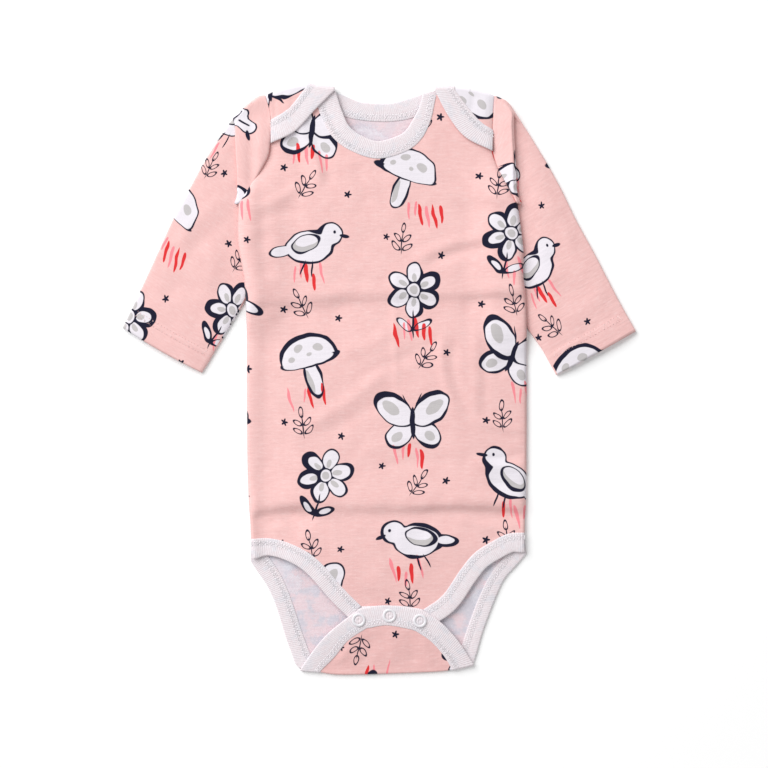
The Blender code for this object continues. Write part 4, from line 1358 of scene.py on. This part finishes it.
def ribObject(name, sections):
    middles = np.array([(inner + outer) / 2 for inner, outer, normal in sections])
    along = np.concatenate([[0], np.cumsum(np.linalg.norm(np.diff(middles, axis=0), axis=1))])
    rings, places = [], []
    for (inner, outer, normal), length in zip(sections, along):
        across = unit(outer - inner)
        width = np.linalg.norm(outer - inner)
        ring = list(rib["lip"]) + [(share * width, h) for share, h in rib["fold"]]
        ring = ring + [(d, -h) for d, h in ring[::-1]]
        rings.append([inner + across * d + normal * h for d, h in ring])
        places.append(np.array([(length, d) for d, h in ring]))
    return ringedObject(name, rings, places, looks["rib"], False)


def legSections(s):
    sign = 1 if s == "right" else -1
    return edgeSections(front["leg"][s], columns["leg"], rib["legWidth"][s], sign, frontHeight)


bindingSections = {
    "neckBindingFront": edgeSections(front["neck"], columns["neck"], rib["neckWidth"], 1, frontHeight),
    "neckBindingBack": runSections(
        towardsNeck,
        stretchSections(backNeckRib["lap left"], columns["shoulder"] * 3, overPlain, 1),
        stretchSections(backNeckRib["neck"], columns["neck"], backHeight, -1),
        stretchSections(backNeckRib["lap right"], columns["shoulder"] * 3, overPlain, 1),
    ),
    "legBindingFront_left": legSections("left"),
    "legBindingFront_right": legSections("right"),
    "tabBinding": edgeSections(front["tab"], columns["tab"], rib["tabWidth"], -1, frontHeight)[1:-1],
    "legBindingBack": runSections(
        -towardsNeck,
        stretchSections(backLegRib["leg left"], columns["leg"], backHeight, -1),
        stretchSections(backLegRib["flap"], columns["tab"] * 2, flapPlain, 1),
        stretchSections(backLegRib["leg right"], columns["leg"], backHeight, -1),
    ),
}
bindings = {name: ribObject(name, sections) for name, sections in bindingSections.items()}
print("bindings made:", ", ".join(bindings))


# Stitching

stitching = {
    "rib": {"pitch": ribbing["stitch"], "length": 1.45, "thread": 0.29},
    # sizes of the beads of painted shade in the hem's needle holes
    "holes": {"pitch": 2.4, "length": 0.75, "thread": 0.20},
    "zigzag": 0.2,  # half the width of the zigzag thread between two rows, mm
    "zigzagStep": 1.8,  # mm along a seam from one point of the zigzag to the next
    "flatten": 0.7, "seed": 4, "wobble": 0.16,
    "overHem": 0.04,  # mm from the hem to the middle of its thread
}


def emptyTree(name, sockets):
    # a node group with its named inputs: the tree, their identifiers and their wires
    tree = bpy.data.node_groups.new(name, "GeometryNodeTree")
    ids = {}
    for name, kind in sockets.items():
        made = tree.interface.new_socket(name=name, in_out="INPUT", socket_type="NodeSocket" + kind)
        ids[name] = made.identifier
    tree.interface.new_socket(name="Stitches", in_out="OUTPUT", socket_type="NodeSocketGeometry")
    source = nodeOn(tree, "NodeGroupInput", {}, {}).socket.node
    return tree, ids, {name: Wire(source.outputs[name]) for name in sockets}


def closeTree(tree, made, look):
    real = nodeOn(tree, "GeometryNodeRealizeInstances", {}, {0: made})
    painted = nodeOn(tree, "GeometryNodeSetMaterial", {}, {"Geometry": real, "Material": look})
    feed(tree.nodes.new("NodeGroupOutput"), {0: painted})


def sweepTree():
    # one thread that runs along the path
    sockets = {"Rows": "Geometry", "Thread": "Float", "Thread Look": "Material"}
    tree, ids, given = emptyTree("threadSweep", sockets)
    round = nodeOn(tree, "GeometryNodeCurvePrimitiveCircle", {}, {"Resolution": 6, "Radius": given["Thread"]})
    values = {"Curve": given["Rows"], "Profile Curve": round, "Fill Caps": True}
    closeTree(tree, nodeOn(tree, "GeometryNodeCurveToMesh", {}, values), given["Thread Look"])
    return tree, ids


def stitchTree():
    sockets = {"Rows": "Geometry", "Thread Look": "Material", "Seed": "Int"}
    sockets |= {name: "Float" for name in ("Pitch", "Stitch Length", "Thread", "Flatten", "Wobble")}
    tree, ids, given = emptyTree("stitchRows", sockets)
    cut = {"Curve": given["Rows"], "Length": given["Pitch"]}
    rows = nodeOn(tree, "GeometryNodeResampleCurve", {"mode": "LENGTH"}, cut)
    ball = nodeOn(tree, "GeometryNodeMeshUVSphere", {}, {"Segments": 6, "Rings": 5, "Radius": 1.0})
    tangent = nodeOn(tree, "GeometryNodeInputTangent", {}, {})
    aimed = nodeOn(tree, "FunctionNodeAlignRotationToVector", {"axis": "X"}, {"Vector": tangent})
    values = {"Min": (0, 0, -1), "Max": (0, 0, 1), "Seed": given["Seed"]}
    turnBy = nodeOn(tree, "FunctionNodeRandomValue", {"data_type": "FLOAT_VECTOR"}, values)
    values = {0: turnBy, "Scale": given["Wobble"]}
    wobble = nodeOn(tree, "ShaderNodeVectorMath", {"operation": "SCALE"}, values)
    spin = nodeOn(tree, "FunctionNodeEulerToRotation", {}, {0: wobble})
    turned = nodeOn(tree, "FunctionNodeRotateRotation", {"rotation_space": "LOCAL"}, {0: aimed, 1: spin})
    size = joined(given["Stitch Length"] * 0.5, given["Thread"], given["Thread"] * given["Flatten"])
    values = {"Points": rows, "Instance": ball, "Rotation": turned, "Scale": size}
    closeTree(tree, nodeOn(tree, "GeometryNodeInstanceOnPoints", {}, values), given["Thread Look"])
    return tree, ids


trees = {"stitches": stitchTree(), "zigzag": sweepTree()}


def sewnObject(name, paths, kind, values):
    # the tree's threads along the paths, as one plain mesh
    curve = bpy.data.curves.new(name + "Rows", "CURVE")
    curve.dimensions = "3D"
    for path in paths:
        spline = curve.splines.new("POLY")
        spline.points.add(len(path) - 1)
        spline.points.foreach_set("co", np.column_stack([np.array(path) * mm, np.ones(len(path))]).ravel())
    guide = newObject(name + "Guide", curve)
    rows = guide.modifiers.new("sewn", "NODES")
    rows.node_group, ids = trees[kind]
    for key, value in values.items():
        rows[ids[key]] = value
    return finished(guide, name)


def stitchObject(name, paths, kind, look):
    size = stitching[kind]
    return sewnObject(name, paths, "stitches", {
        "Pitch": size["pitch"] * mm, "Stitch Length": size["length"] * mm,
        "Thread": size["thread"] * mm, "Flatten": stitching["flatten"],
        "Wobble": stitching["wobble"], "Seed": stitching["seed"], "Thread Look": look,
    })


def zigzagObject(name, pairs, look):
    # a thread for each pair of rows, from one row to the other and back, an even step further each time
    paths = []
    for rows in pairs:
        even = []
        for row in rows:
            length = np.linalg.norm(np.diff(row, axis=0), axis=1).sum()
            even.append(smooth(np.array(row), int(length / stitching["zigzagStep"])))
        steps = len(even[0])
        paths.append([even[i % 2][i * (len(even[i % 2]) - 1) // (steps - 1)] for i in range(steps)])
    return sewnObject(name, paths, "zigzag", {"Thread": stitching["zigzag"] * mm, "Thread Look": look})


def ribRow(sections, distance, above):
    # a row at one distance from the panel's edge, on the side that faces above
    path = []
    for inner, outer, normal in sections:
        facing = normal * above
        height = np.interp(facing[2], (-1, 1), rib["stitchHeights"])
        path.append(inner + unit(outer - inner) * distance + facing * height)
    return path


stitches = {}
for name, sections in bindingSections.items():
    sides = [[ribRow(sections, distance, above) for distance in ribbing["rows"]] for above in (1, -1)]
    stitches[name] = [
        stitchObject(name + "Stitches", sides[0] + sides[1], "rib", looks["whiteThread"]),
        zigzagObject(name + "Zigzag", sides, looks["whiteThread"]),
    ]


def hemRow(grid, fromCuff, depth):
    # the upper layer's points at one depth from the cuff
    row = []
    for column in range(2, grid.shape[1] - 2):
        distance, points = fromCuff[::-1, column], grid[::-1, column]
        row.append([np.interp(depth, distance, points[:, axis]) for axis in range(3)])
    return np.array(row) + up * (cloth["wall"] / 2 + stitching["overHem"])


for s, (obj, top, fromCuff) in sleeveParts.items():
    rows = [hemRow(top, fromCuff, depth) for depth in sleeves["hemRows"]]
    stitches[obj.name] = [
        zigzagObject("hemStitches_" + s, [rows], looks["pinkThread"]),
        # beads of painted shade in the needle holes of each row
        stitchObject("hemHoleShade_" + s, rows, "holes", looks["holeShade"]),
    ]
print("stitching made:", sum(len(obj.data.polygons) for pair in stitches.values() for obj in pair), "faces")


# Snaps

snap = {
    "places": {"left": (-20.3, -172.0), "middle": (1.7, -168.9), "right": (23.6, -172.6)},
    # the open ring's section, and the bulge of rib inside it: radius, height over the binding, mm
    "section": ((2.95, 0.0), (4.7, 0.0), (4.88, 0.12), (4.9, 0.34), (4.72, 0.58), (4.35, 0.74), (3.9, 0.78),
                (3.45, 0.72), (3.12, 0.56), (2.97, 0.32)),
    "bulge": ((3.3, -0.25), (2.9, 0.1), (2.2, 0.34), (1.5, 0.42), (1.1, 0.36), (0.7, 0.16), (0.35, 0.1)),
    "steps": 48, "over": 0.05,
}


def turnedObject(name, centre, section, look, looped):
    angles = np.linspace(0, 2 * math.pi, snap["steps"], endpoint=False)
    circle = np.column_stack([np.cos(angles), np.sin(angles), np.zeros(snap["steps"])])
    rings = [centre + circle * radius + up * height for radius, height in section]
    return ringedObject(name, rings, [ring[:, :2] for ring in rings], look, looped)


snaps = {}
for place, (x, y) in snap["places"].items():
    centre = np.array((x, y, overPlain(x, y) - cloth["wall"] / 2 + cloth["rib"] + snap["over"]))
    snaps[place] = (
        turnedObject("snapRing_" + place, centre, snap["section"], looks["snap"], True),
        turnedObject("snapBulge_" + place, centre, snap["bulge"], looks["rib"], False),
    )
print("snaps made:", len(snaps))


# What each piece stands for

# binding: the solid it stands for, flat width and length, m
ribFlat = {
    "neckBindingFront": ("neck_binding_front", 0.0125, 0.150),
    "neckBindingBack": ("neck_binding_back", 0.0145, 0.215),
    "legBindingFront_left": ("leg_binding_front_left", 0.0125, 0.100),
    "legBindingFront_right": ("leg_binding_front_right", 0.0125, 0.100),
    "legBindingBack": ("leg_binding_back", 0.0145, 0.345),
    "tabBinding": ("tab_binding", 0.0125, 0.045),
}


def declare(slotName, obj, *nodes):
    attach(obj, "root")
    if nodes:
        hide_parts(*nodes)


for s, (obj, *grids) in sleeveParts.items():
    declare("pink_print_knit", obj, "sleeve_" + s)
declare("pink_print_knit", frontPanel, "front")
declare("pink_print_knit", backPanel, "back")
for name, (node, *flat) in ribFlat.items():
    declare("white_rib_binding", bindings[name], node)
for place, (ring, dome) in snaps.items():
    declare("snap_white", ring, "snap_ring_" + place)
    declare("white_rib_binding", dome)
for name, pair in stitches.items():
    for obj in pair:
        declare("pink_print_knit" if name.startswith("sleeve") else "white_rib_binding", obj)


# Floor, light and camera

studio = {
    "cameraHeight": 1.306, "centre": (-0.00216, -0.00288),
    "lens": 85.0, "sensor": 36.0,
    "keyPower": 300.0, "keySize": 4.4, "keyFrom": (-3.06, 3.06, 3.05),  # W, m, m
    "fill": 0.535,
    "floor": (1.0, 1.0, 1.0), "floorSize": 4.0, "floorDrop": 0.0001,
}


def makeStudio():
    scene = bpy.context.scene
    scene.view_settings.view_transform = "Standard"
    mesh = bpy.data.meshes.new("floor")
    size, low = studio["floorSize"], -studio["floorDrop"]
    corners = [(-size, -size, low), (size, -size, low), (size, size, low), (-size, size, low)]
    mesh.from_pydata(corners, [], [(0, 1, 2, 3)])
    floor = newObject("floor", mesh)
    look, tree, shader = newMaterial("paleFloor")
    feed(shader, {"Base Color": (*studio["floor"], 1), "Roughness": 0.9, "Specular IOR Level": 0.1})
    mesh.materials.append(look)

    world = bpy.data.worlds.new("softRoom")
    world.use_nodes = True
    feed(world.node_tree.nodes["Background"], {"Color": (1.0, 1.0, 1.0, 1), "Strength": studio["fill"]})
    scene.world = world

    lamp = bpy.data.lights.new("key", "AREA")
    lamp.shape = "DISK"
    lamp.size = studio["keySize"]
    lamp.energy = studio["keyPower"]
    key = newObject("key", lamp)
    key.location = studio["keyFrom"]
    key.rotation_euler = Vector(studio["keyFrom"]).to_track_quat("Z", "Y").to_euler()

    view = bpy.data.cameras.new("camera")
    view.lens, view.sensor_width, view.clip_end = studio["lens"], studio["sensor"], 20
    camera = newObject("camera", view)
    camera.location = (*studio["centre"], studio["cameraHeight"])
    scene.camera = camera


makeStudio()
